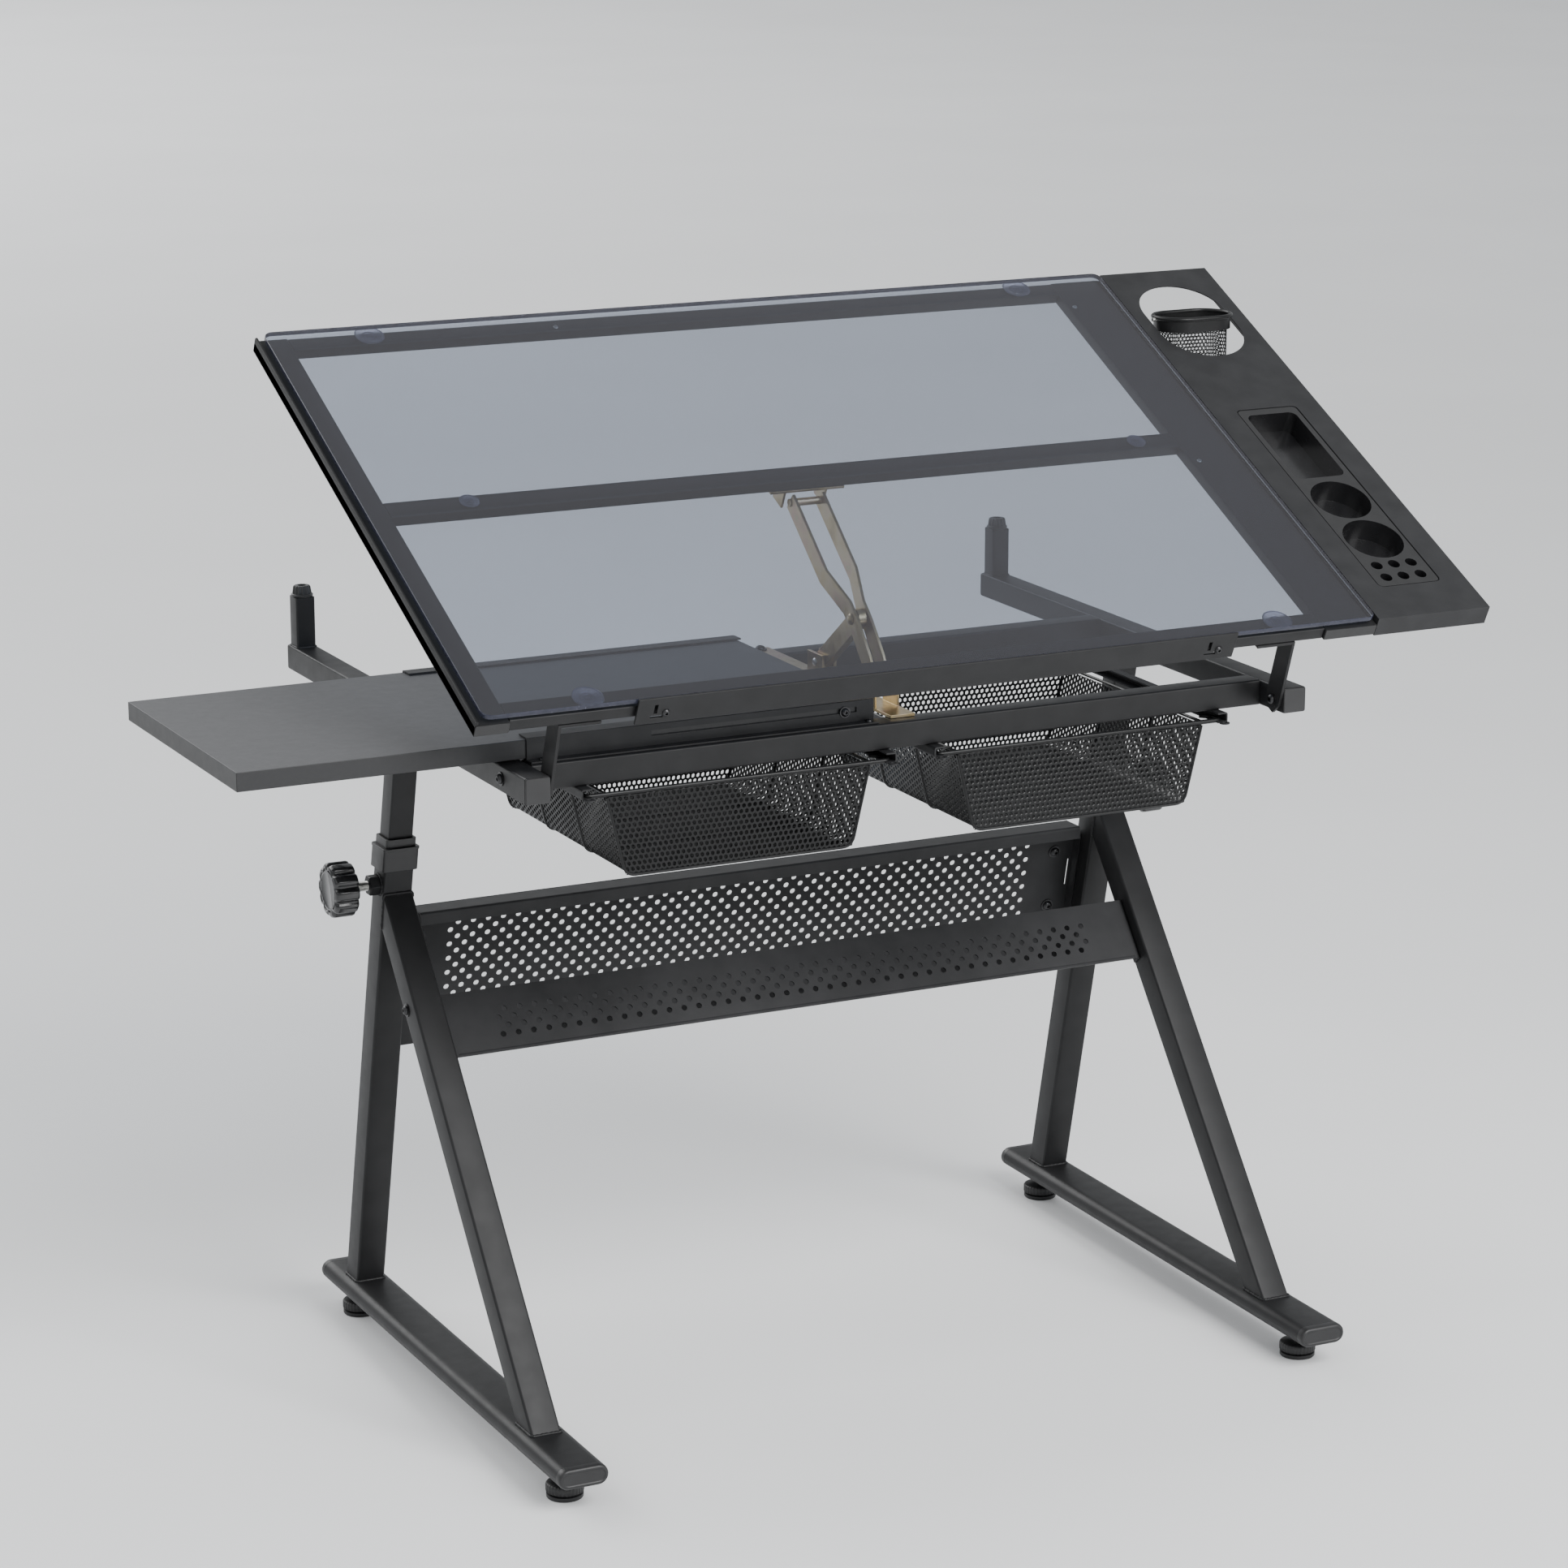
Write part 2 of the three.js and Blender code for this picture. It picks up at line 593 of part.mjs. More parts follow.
// The insert fills the tray's slot and is held by a flange under the sheet.
function organizer() {
  const { x, depth, flange, wall, sunk, pocket, holders, pencils } = ORGANIZER;
  const under = TRAY.top - depth;
  const sheetUnder = TRAY.top - SHEET - GAP;
  const tub = prism(organizerOutline(0), under, TRAY.top - sunk, 3);
  const rim = prism(organizerOutline(flange), sheetUnder - wall, sheetUnder, 3);
  const floor = under + wall;
  const lid = TRAY.top + OVER;
  const { v: pocketV, halfX, halfV, corner } = pocket;
  const hollows = [prism(roundedOutline(x, pocketV, halfX, halfV, corner), floor, lid, 4)];
  for (const v of holders.v) hollows.push(rod("z", holders.radius, floor, lid, x, v, 32));
  for (const v of pencils.v) {
    for (const column of [-1, 0, 1]) {
      hollows.push(rod("z", pencils.radius, floor, lid, x + column * pencils.apart, v, 14));
    }
  }
  return cut(join(tub, rim), ...hollows);
}

// A flat arm that hangs under the front bar and turns on the side rail.
function hingeArm(sign) {
  const under = barUnder - GAP;
  const dy = TILT_PIVOT.y - TOP.frontY;
  const dz = TILT_PIVOT.z - TOP.frontZ;
  const v = dy * Math.cos(TILT) + dz * Math.sin(TILT);
  const n = -dy * Math.sin(TILT) + dz * Math.cos(TILT);
  const { thick, flange, foot, drop, waist, front, back } = HINGE;
  const outline = [
    [v - foot, n - drop],
    [v + foot, n - drop],
    [v + waist, n],
    [v + back, under - thick],
    [v + back, under],
    [v - front, under],
    [v - waist, n],
  ];
  const outerX = FRAME_X - RAIL.size / 2 - GAP;
  const strip = sidePrism(outline, outerX - thick, outerX);
  const foldedOver = box(outerX - flange, outerX, v - front, v + back, under - thick, under);
  const arm = join(strip, foldedOver);
  return sign > 0 ? arm : mirrored(arm);
}

function pencilCup() {
  const { halfX, halfY, depth, above, wall, pin, pinReach } = PENCIL_CUP;
  const oval = (inset) => {
    const [x, y] = [halfX - inset, halfY - inset];
    return roundedOutline(0, 0, x, y, y - OVER);
  };
  const outer = prism(oval(0), -depth, above, 6);
  const inner = prism(oval(wall), wall - depth, above + OVER, 6);
  const pins = rod("x", pin, -halfX - pinReach, halfX + pinReach, 0, 0, 10);
  return cut(join(outer, pins), inner);
}

add("glass_top", "blueGlass", glassTop(), topGroup);
add("top_bar_left", "powderCoat", sideBarLeft(), topGroup);
add("top_bar_right", "powderCoat", topBar("y", BAR.rightInner, BAR.right, BAR.span), topGroup);
for (const [name, span] of Object.entries(BAR_DEPTHS)) {
  const bar = topBar("x", BAR.leftInner + GAP, BAR.rightInner - GAP, span);
  add(`top_bar_${name}`, "powderCoat", bar, topGroup);
}
const CUP_ROWS = ["front", "middle", "back"];
CUPS.x.forEach((x, side) => {
  CUPS.v.forEach((v, row) => {
    const name = `suction_cup_${CUP_ROWS[row]}_${SIDES[side].name}`;
    add(name, "clearVinyl", suctionCup(x, v, CUPS.radius[row]), topGroup);
  });
});
add("tray_panel", "powderCoat", trayPanel(), topGroup);
add("tray_organizer", "blackPlastic", organizer(), topGroup);
for (const { name, sign } of SIDES) {
  add(`hinge_arm_${name}`, "powderCoat", hingeArm(sign), topGroup);
}
const ledge = box(
  -LEDGE.halfX, LEDGE.halfX, LEDGE.v - LEDGE.thick, LEDGE.v, LEDGE.top - LEDGE.height, LEDGE.top,
);
add("paper_ledge", "powderCoat", ledge, topGroup);

// The cup hangs upright on two pins in the tray's oval hole.
const holeCentre = new THREE.Vector3(TRAY_HOLE.x, TRAY_HOLE.v, TRAY.top);
holeCentre.applyEuler(new THREE.Euler(TILT, 0, 0)).add(topGroup.position);
const cupAt = [TRAY_HOLE.x, holeCentre.y, holeCentre.z + CUP_RISE];
add("pencil_cup", "wireMesh", pencilCup().translate(...cupAt));

// ---- the lift: arms from the middle bar to the front crossbar, a strut on a sliding pawl ----
const ARM_LINE = [
  { y: 40.5, z: 848.7, x: LIFT.wide },
  { y: -31, z: 787, x: LIFT.wide },
  { y: -64, z: 762, x: LIFT.narrow },
  { y: -80, z: 747, x: LIFT.narrow },
  { y: -104, z: 719, x: LIFT.narrow },
  { y: -118, z: 693, x: LIFT.narrow },
];
const CROSSING = { y: -74, z: 753 }; // the rivet where the strut meets the arms

function armStrip(side) {
  const half = LIFT.width / 2;
  const sections = ARM_LINE.map((point, i) => {
    const before = ARM_LINE[Math.max(i - 1, 0)];
    const after = ARM_LINE[Math.min(i + 1, ARM_LINE.length - 1)];
    const along = new THREE.Vector2(after.y - before.y, after.z - before.z).normalize();
    const across = [-along.y * half, along.x * half];
    const inner = side * (point.x - LIFT.strip / 2);
    const outer = side * (point.x + LIFT.strip / 2);
    const corners = [
      [inner, point.y + across[0], point.z + across[1]],
      [inner, point.y - across[0], point.z - across[1]],
      [outer, point.y - across[0], point.z - across[1]],
      [outer, point.y + across[0], point.z + across[1]],
    ];
    return side > 0 ? corners.reverse() : corners;
  });
  return loft(sections);
}

function liftArms() {
  const head = ARM_LINE[0];
  const tail = ARM_LINE[ARM_LINE.length - 1];
  const { wide, narrow, strip, pin, headOffset, tailRise } = LIFT;
  const outer = narrow + strip / 2;
  const rivet = (from, to) => rod("x", pin, from, to, CROSSING.y, CROSSING.z, 14);
  const headPin = [head.y + headOffset.y, head.z + headOffset.z];
  return join(
    armStrip(1),
    armStrip(-1),
    rod("x", pin, -wide - strip, wide + strip, ...headPin, 14),
    rod("x", pin, -outer - OVER, outer + OVER, tail.y, tail.z + tailRise, 14),
    rivet(outer - OVER, outer + OVER),
    rivet(-outer - OVER, -outer + OVER),
  );
}

function liftStrut() {
  const half = LIFT.strutWidth / 2;
  const length = Math.hypot(PAWL.y - CROSSING.y, PAWL.z - CROSSING.z);
  const outline = roundedOutline(length / 2, 0, length / 2 + half - OVER, half, half - 0.5);
  const angle = Math.atan2(PAWL.z - CROSSING.z, PAWL.y - CROSSING.y);
  const bar = sidePrism(outline, -LIFT.strutThick / 2, LIFT.strutThick / 2, 6);
  return bar.rotateX(angle).translate(0, CROSSING.y, CROSSING.z);
}

const BASE_TOP = RAIL.top + GAP + LIFT.strip;
const BASE_ENDS = [CROSSBAR.frontY + 15, CROSSBAR.backY + 21]; // on the crossbars, short of their edges

// Two ears on a strip or plate, one on each side of the middle.
function earPair(inner, outer, y0, y1, z0, z1) {
  return [-1, 1].map((side) => box(...ordered(side * inner, side * outer), y0, y1, z0, z1));
}

function liftBase() {
  const { front, back, top, inner, outer } = BASE_EARS;
  const strip = box(-outer, outer, ...BASE_ENDS, RAIL.top + GAP, BASE_TOP);
  return join(strip, ...earPair(inner, outer, front, back, BASE_TOP - OVER, top));
}

function liftPawl() {
  const { y, z, halfX, front, back, ear, rise, sole, gap } = PAWL;
  const soleTop = BASE_TOP + GAP + sole;
  const plate = box(-halfX, halfX, y - front, y + back, BASE_TOP + GAP, soleTop);
  const inner = LIFT.strutThick / 2 + gap;
  return join(plate, ...earPair(inner, halfX, y - ear, y + back, soleTop - OVER, z + rise));
}

function liftTopPlate() {
  const { halfX, front, back, thick, earFront, drop, gap } = TOP_PLATE;
  const under = barUnder - GAP;
  const plate = box(-halfX, halfX, front, back, under - thick, under);
  const inner = LIFT.wide + LIFT.strip / 2 + gap;
  const ears = earPair(inner, inner + thick, earFront, back, under - drop, under - OVER);
  return join(plate, ...ears);
}

add("lift_arms", "yellowZinc", liftArms());
add("lift_strut", "yellowZinc", liftStrut());
add("lift_base", "yellowZinc", liftBase());
add("lift_pawl", "yellowZinc", liftPawl());
add("lift_top_plate", "yellowZinc", liftTopPlate(), topGroup);

// The origin sits on the floor under the middle of the whole object.
const middleX = (SHELF.left + TRAY.right) / 2;
const middleY = (RAIL.back - FOOT.half) / 2;
table.position.set(-middleX, -middleY, 0);

export default table;
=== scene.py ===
"""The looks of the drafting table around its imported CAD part: detail, materials, camera, floor and light.
Metres, in the frame of the part: +X along the table towards the tool tray, +Y away from the user, +Z up."""

import json
from collections import namedtuple
from math import ceil, copysign, cos, hypot, pi, radians, sin, tan

import bmesh
import bpy
from mathutils import Matrix, Vector

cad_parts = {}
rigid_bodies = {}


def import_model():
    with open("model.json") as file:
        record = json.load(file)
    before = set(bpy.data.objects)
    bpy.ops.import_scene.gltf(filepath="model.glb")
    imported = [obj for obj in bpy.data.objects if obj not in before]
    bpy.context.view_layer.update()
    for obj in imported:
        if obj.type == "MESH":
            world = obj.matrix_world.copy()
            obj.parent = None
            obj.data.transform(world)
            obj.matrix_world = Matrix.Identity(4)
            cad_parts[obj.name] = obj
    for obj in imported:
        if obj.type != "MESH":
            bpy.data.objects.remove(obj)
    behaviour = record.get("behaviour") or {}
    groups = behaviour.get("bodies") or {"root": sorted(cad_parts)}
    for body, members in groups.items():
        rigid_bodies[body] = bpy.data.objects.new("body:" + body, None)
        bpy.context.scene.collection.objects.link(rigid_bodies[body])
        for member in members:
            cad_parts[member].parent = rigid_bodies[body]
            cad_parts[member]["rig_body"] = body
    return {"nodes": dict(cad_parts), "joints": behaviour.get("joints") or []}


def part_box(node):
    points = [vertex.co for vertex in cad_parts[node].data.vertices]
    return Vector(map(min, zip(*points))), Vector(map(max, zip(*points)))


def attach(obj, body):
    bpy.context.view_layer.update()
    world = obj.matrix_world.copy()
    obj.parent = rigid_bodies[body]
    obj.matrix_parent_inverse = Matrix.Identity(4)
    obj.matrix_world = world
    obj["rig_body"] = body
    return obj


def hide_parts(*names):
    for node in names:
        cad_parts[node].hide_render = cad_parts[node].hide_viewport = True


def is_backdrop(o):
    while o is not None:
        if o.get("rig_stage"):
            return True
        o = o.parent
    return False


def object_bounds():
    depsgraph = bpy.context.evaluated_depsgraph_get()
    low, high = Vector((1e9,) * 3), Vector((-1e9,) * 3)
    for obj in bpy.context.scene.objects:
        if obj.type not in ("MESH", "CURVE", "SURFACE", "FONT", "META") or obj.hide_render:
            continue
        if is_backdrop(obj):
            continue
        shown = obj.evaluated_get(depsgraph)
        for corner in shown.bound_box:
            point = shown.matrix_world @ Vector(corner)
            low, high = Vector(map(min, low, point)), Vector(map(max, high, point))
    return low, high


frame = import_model()
bounds_at_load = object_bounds()

MM = 0.001
GAP = 0.3 * MM
TILT = radians(25.8)  # the top at rest
LEG_LEAN = radians(13.2)
FRONT_LEAN = radians(38.9)
LEG = 30 * MM
COLUMN = 25 * MM
RAIL = 25 * MM
POST = 20 * MM
SHEET = 1.5 * MM
HOLE_PITCH = 16.1 * MM  # the rack's holes
HOLE_RADIUS = 3 * MM
HOLES_IN_ROW = 41
TAB_DEPTH = 13 * MM  # the rack's folded ends
CHANNEL_FOOT = 11 * MM  # the shelf channels' flange on the crossbars
SIDES = {"left": -1, "right": 1}
UP = Vector((0, 0, 1))
CORNERS = ((1, 1), (-1, 1), (-1, -1), (1, -1))  # signs, in order round a square


# ---- places taken from the frame ----
def middle(node):
    low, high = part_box(node)
    return (low + high) / 2


MIDDLE_X = (middle("foot_bar_left").x + middle("foot_bar_right").x) / 2
RAIL_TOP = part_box("front_crossbar")[1].z
GLASS_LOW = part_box("glass_top")[0]
GLASS_THICK = 5 * MM
TOP_FRAME = Matrix.Translation((MIDDLE_X, GLASS_LOW.y, GLASS_LOW.z + GLASS_THICK * cos(TILT)))
TOP_FRAME @= Matrix.Rotation(TILT, 4, "X")  # x, distance up the slope, height out of the glass


def in_top(node):
    """The lowest and highest corner of a node of the tilting top, in the top's own frame."""
    turn = TOP_FRAME.inverted()
    corners = [turn @ v.co for v in frame["nodes"][node].data.vertices]
    low = Vector([min(c[i] for c in corners) for i in range(3)])
    high = Vector([max(c[i] for c in corners) for i in range(3)])
    return low, high


def joint_place(name):
    """Where a joint's axis passes."""
    return next(joint["pos_m"] for joint in frame["joints"] if joint["name"] == name)


# ---- meshes ----
class Shape:
    """Points and faces that grow into one mesh."""

    def __init__(self):
        self.points = []
        self.faces = []

    def add(self, points, faces):
        start = len(self.points)
        self.points += [Vector(p) for p in points]
        self.faces += [[start + i for i in face] for face in faces]
        return self

    def join(self, *others):
        for other in others:
            self.add(other.points, other.faces)
        return self

    def moved(self, matrix):
        if not isinstance(matrix, Matrix):
            matrix = Matrix.Translation(matrix)
        made = Shape()
        made.points = [matrix @ p for p in self.points]
        made.faces = [list(reversed(f)) if matrix.determinant() < 0 else f for f in self.faces]
        return made


def rings(rows, closed=False, caps=True):
    """A skin over rows of points, each row a closed loop."""
    count = len(rows[0])
    faces = []
    pairs = list(range(len(rows) - 1)) + ([len(rows) - 1] if closed else [])
    for i in pairs:
        a = i * count
        b = ((i + 1) % len(rows)) * count
        for k in range(count):
            n = (k + 1) % count
            faces.append([a + k, a + n, b + n, b + k])
    if caps and not closed:
        faces.append(list(reversed(range(count))))
        faces.append([(len(rows) - 1) * count + k for k in range(count)])
    return Shape().add([p for row in rows for p in row], faces)


def circle(radius, sides, height=0.0, flutes=0, depth=0.0, narrow=1):
    """A loop round Z, with grooves if flutes is given. A higher narrow leaves wider lobes between them."""
    loop = []
    for i in range(sides):
        angle = 2 * pi * i / sides
        groove = (0.5 - 0.5 * cos(flutes * angle)) ** narrow if flutes else 0
        r = radius - depth * groove
        loop.append((r * cos(angle), r * sin(angle), height))
    return loop


def rectangle(centre, width, depth):
    """The corners of a level rectangle, in order round it."""
    x, y, z = centre
    return [(x + sx * width / 2, y + sy * depth / 2, z) for sx, sy in CORNERS]


def lathe(profile, sides=32, flutes=0, depth=0.0, narrow=1):
    """A turned form from (radius, height) pairs; the grooves follow the radius."""
    widest = max(r for r, _ in profile)
    rows = []
    for r, h in profile:
        rows.append(circle(max(r, 0.05 * MM), sides, h, flutes, depth * r / widest, narrow))
    return rings(rows)


def rounded_rectangle(width, height, radius, steps=4, x=0.0, y=0.0):
    """Points of a rounded rectangle round (x, y), counter-clockwise."""
    radius = min(radius, width / 2 - 1e-6, height / 2 - 1e-6)
    loop = []
    for k, (sx, sy) in enumerate([(1, -1), (1, 1), (-1, 1), (-1, -1)]):
        cx, cy = x + sx * (width / 2 - radius), y + sy * (height / 2 - radius)
        for i in range(steps + 1):
            angle = -pi / 2 + k * pi / 2 + i * pi / 2 / steps
            loop.append((cx + radius * cos(angle), cy + radius * sin(angle)))
    return loop


def slab(loop, low, high, edge=0.0):
    """An outline pulled up along Z, with a chamfer of edge at both ends."""
    cx = sum(p[0] for p in loop) / len(loop)
    cy = sum(p[1] for p in loop) / len(loop)

    def inset(point, d):
        away = Vector((point[0] - cx, point[1] - cy))
        away -= away.normalized() * d
        return cx + away.x, cy + away.y

    levels = [(low, 0)] if not edge else [(low, edge), (low + edge, 0)]
    levels += [(high, 0)] if not edge else [(high - edge, 0), (high, edge)]
    return rings([[(*inset(p, d), z) for p in loop] for z, d in levels])


def tube(start, end, size, radius, wall, across, cuts=(None, None)):
    """A rectangular tube between two points. across is the direction of its first size.
    cuts are the normals of its end planes, square to the tube where None."""
    start, end = Vector(start), Vector(end)
    along = (end - start).normalized()
    across = Vector(across).normalized()
    other = along.cross(across).normalized()
    outer = rounded_rectangle(size[0], size[1], radius)
    inner = rounded_rectangle(size[0] - 2 * wall, size[1] - 2 * wall, max(radius - wall, 0.4 * MM))

    def loop(outline, origin, normal):
        normal = Vector(normal) if normal else along
        points = []
        for u, v in outline:
            p = origin + across * u + other * v
            points.append(p + along * ((origin - p).dot(normal) / along.dot(normal)))
        return points

    rows = [loop(outer, start, cuts[0]), loop(outer, end, cuts[1])]
    rows += [loop(inner, end, cuts[1]), loop(inner, start, cuts[0])]
    return rings(rows, closed=True)


def bar(low, high, axis, radius):
    """A tube that fills a box and runs along X where axis is 0, along Y where it is 1."""
    start, end = (low + high) / 2, (low + high) / 2
    start[axis], end[axis] = low[axis], high[axis]
    size = high - low
    return tube(start, end, (size[1 - axis], size.z), radius, SHEET, (axis, 1 - axis, 0))


def filleted(points, radius, steps=5, closed=False):
    """A path whose corners are rounded."""
    points = [Vector(p) for p in points]
    made = []
    count = len(points)
    for i, p in enumerate(points):
        if not closed and i in (0, count - 1):
            made.append(p)
            continue
        to_last = points[i - 1] - p
        to_next = points[(i + 1) % count] - p
        reach = min(radius, to_last.length * 0.49, to_next.length * 0.49)
        a = p + to_last.normalized() * reach
        b = p + to_next.normalized() * reach
        for k in range(steps + 1):
            t = k / steps
            made.append(a * (1 - t) ** 2 + p * 2 * t * (1 - t) + b * t * t)
    return made


def distances(path):
    """How far along a path each of its points lies."""
    made = [0.0]
    for a, b in zip(path, path[1:]):
        made.append(made[-1] + (b - a).length)
    return made


def point_along(path, lengths, distance):
    """The point of a path at a distance from its start."""
    i = max(k for k in range(len(path) - 1) if lengths[k] <= distance)
    share = (distance - lengths[i]) / (lengths[i + 1] - lengths[i])
    return path[i].lerp(path[i + 1], min(share, 1))


def wire(points, radius, sides=10, closed=False, swell=None):
    """A round wire along a path. swell gives the radius's share at each point's number."""
    points = [Vector(p) for p in points]
    count = len(points)
    rows = []
    normal = None
    for i, p in enumerate(points):
        last = points[i - 1] if closed or i else p
        following = points[(i + 1) % count] if closed or i < count - 1 else p
        along = (following - last).normalized()
        if normal is None:
            normal = along.orthogonal()
        normal = (normal - along * normal.dot(along)).normalized()
        other = along.cross(normal)
        r = radius * (swell(i) if swell else 1)
        turns = [2 * pi * k / sides for k in range(sides)]
        rows.append([p + (normal * cos(a) + other * sin(a)) * r for a in turns])
    return rings(rows, closed=closed)


def plate(xs, ys, holes, at):
    """A sheet of grid cells that leaves out the cells inside holes (x0, x1, y0, y1). at places (x, y)."""
    xs = sorted(set(xs + [x for h in holes for x in h[:2]]))
    ys = sorted(set(ys + [y for h in holes for y in h[2:]]))
    points = [at(x, y) for y in ys for x in xs]
    faces = []
    for j in range(len(ys) - 1):
        for i in range(len(xs) - 1):
            cx, cy = (xs[i] + xs[i + 1]) / 2, (ys[j] + ys[j + 1]) / 2
            if not any(h[0] < cx < h[1] and h[2] < cy < h[3] for h in holes):
                a = j * len(xs) + i
                faces.append([a, a + 1, a + 1 + len(xs), a + len(xs)])
    return Shape().add(points, faces)


def level(z):
    """Places a plate's points at one height."""
    return lambda x, y: (x, y, z)


def upright(y):
    """Places a plate's points in an upright plane along X."""
    return lambda x, z: (x, y, z)


def ribbon(start, end):
    """A sheet between two paths that have as many points each."""
    count = len(start)
    faces = [[i, i + 1, count + i + 1, count + i] for i in range(count - 1)]
    return Shape().add([*start, *end], faces)


def perforated(width, height, at, row, rows, rise):
    """A sheet round (0, 0) with staggered rows of the rack's holes, row apart. rise shifts the rows."""
    shape = Shape()
    sides = 16
    half_pitch, half_row = HOLE_PITCH / 2, row / 2

    def blank(x0, x1, y0, y1):
        shape.add([at(x0, y0), at(x1, y0), at(x1, y1), at(x0, y1)], [[0, 1, 2, 3]])

    base = rise - rows * half_row
    for r in range(rows):
        y = base + (r + 0.5) * row
        first = -(HOLES_IN_ROW - 1) * half_pitch + (half_pitch / 2 if r % 2 else -half_pitch / 2)
        for i in range(HOLES_IN_ROW):
            x = first + i * HOLE_PITCH
            outer, inner = [], []
            for k in range(sides):
                a = 2 * pi * (k + 0.5) / sides
                c, s = cos(a), sin(a)
                reach = min(half_pitch / abs(c), half_row / abs(s))
                corner = abs(abs(c) * row - abs(s) * HOLE_PITCH) < 0.42 * row
                out_x = copysign(half_pitch, c) if corner else reach * c
                out_y = copysign(half_row, s) if corner else reach * s
                outer.append(at(x + out_x, y + out_y))
                inner.append(at(x + HOLE_RADIUS * c, y + HOLE_RADIUS * s))
            shape.join(rings([outer, inner], caps=False))
        last = first + (HOLES_IN_ROW - 1) * HOLE_PITCH
        blank(-width / 2, first - half_pitch, y - half_row, y + half_row)
        blank(last + half_pitch, width / 2, y - half_row, y + half_row)
    blank(-width / 2, width / 2, -height / 2, base)
    blank(-width / 2, width / 2, base + rows * row, height / 2)
    return shape


def honeycomb(length, height, cell, strand, at, inside=None):
    """Expanded mesh: six-sided openings over a patch length by height. at places (u, v)."""
    shape = Shape()
    side = cell / 3**0.5
    for j in range(ceil(height / (1.5 * side)) + 1):
        for i in range(ceil(length / cell) + 1):
            cu = (i + (0.5 if j % 2 else 0)) * cell
            cv = j * 1.5 * side
            if inside and not inside(cu, cv):
                continue
            loops = []
            for size in (side, side - strand / 3**0.5):
                loop = []
                for k in range(6):
                    a = pi / 6 + k * pi / 3
                    u = min(max(cu + size * cos(a), 0), length)
                    v = min(max(cv + size * sin(a), 0), height)
                    loop.append(at(u, v))
                loops.append(loop)
            if (Vector(loops[1][0]) - Vector(loops[1][3])).length >= strand / 2:
                shape.join(rings(loops, caps=False))
    return shape


def piece(name, shape, finish, body, thick=0.0, bevel=0.0, weld=False, smooth=35):
    """Makes the object, gives it its finish and lets it ride on a body."""
    mesh = bpy.data.meshes.new(name)
    mesh.from_pydata(shape.points, [], shape.faces)
    work = bmesh.new()
    work.from_mesh(mesh)
    if weld:
        bmesh.ops.remove_doubles(work, verts=work.verts, dist=0.02 * MM)
    if not thick:
        bmesh.ops.recalc_face_normals(work, faces=work.faces)
    work.to_mesh(mesh)
    work.free()
    if thick:
        mesh.shade_flat()
    else:
        mesh.shade_smooth()
        mesh.set_sharp_from_angle(angle=radians(smooth))
    made = bpy.data.objects.new(name, mesh)
    bpy.context.scene.collection.objects.link(made)
    if thick:
        solid = made.modifiers.new("thickness", "SOLIDIFY")
        solid.thickness = thick
        solid.offset = 0
    if bevel:
        rounding = made.modifiers.new("edges", "BEVEL")
        rounding.width = bevel
        rounding.segments = 2
        rounding.limit_method = "ANGLE"
        rounding.angle_limit = radians(40)
        rounding.harden_normals = True
    mesh.materials.append(finish.material)
    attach(made, body)
    return made


def look(node, shape, finish, name=None, **details):
    """A piece that stands for a CAD node and rides on its body."""
    made = piece(name or node + "_look", shape, finish, frame["nodes"][node]["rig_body"], **details)
    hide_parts(node)
    return made


def refined(node, finish, bevel):
    """A copy of a CAD node with its edges rounded, which stands for the node."""
    mesh = frame["nodes"][node].data.copy()
    mesh.materials.clear()
    work = bmesh.new()
    work.from_mesh(mesh)
    bmesh.ops.remove_doubles(work, verts=work.verts, dist=0.01 * MM)
    edges, points = work.edges, work.verts
    bmesh.ops.dissolve_limit(work, angle_limit=radians(1), verts=points, edges=edges)
    bmesh.ops.recalc_face_normals(work, faces=work.faces)
    work.to_mesh(mesh)
    work.free()
    shape = Shape().add([v.co for v in mesh.vertices], [list(p.vertices) for p in mesh.polygons])
    return look(node, shape, finish, bevel=bevel)


# ---- materials ----
def scaled(colour, factor):
    return tuple(factor * part for part in colour)


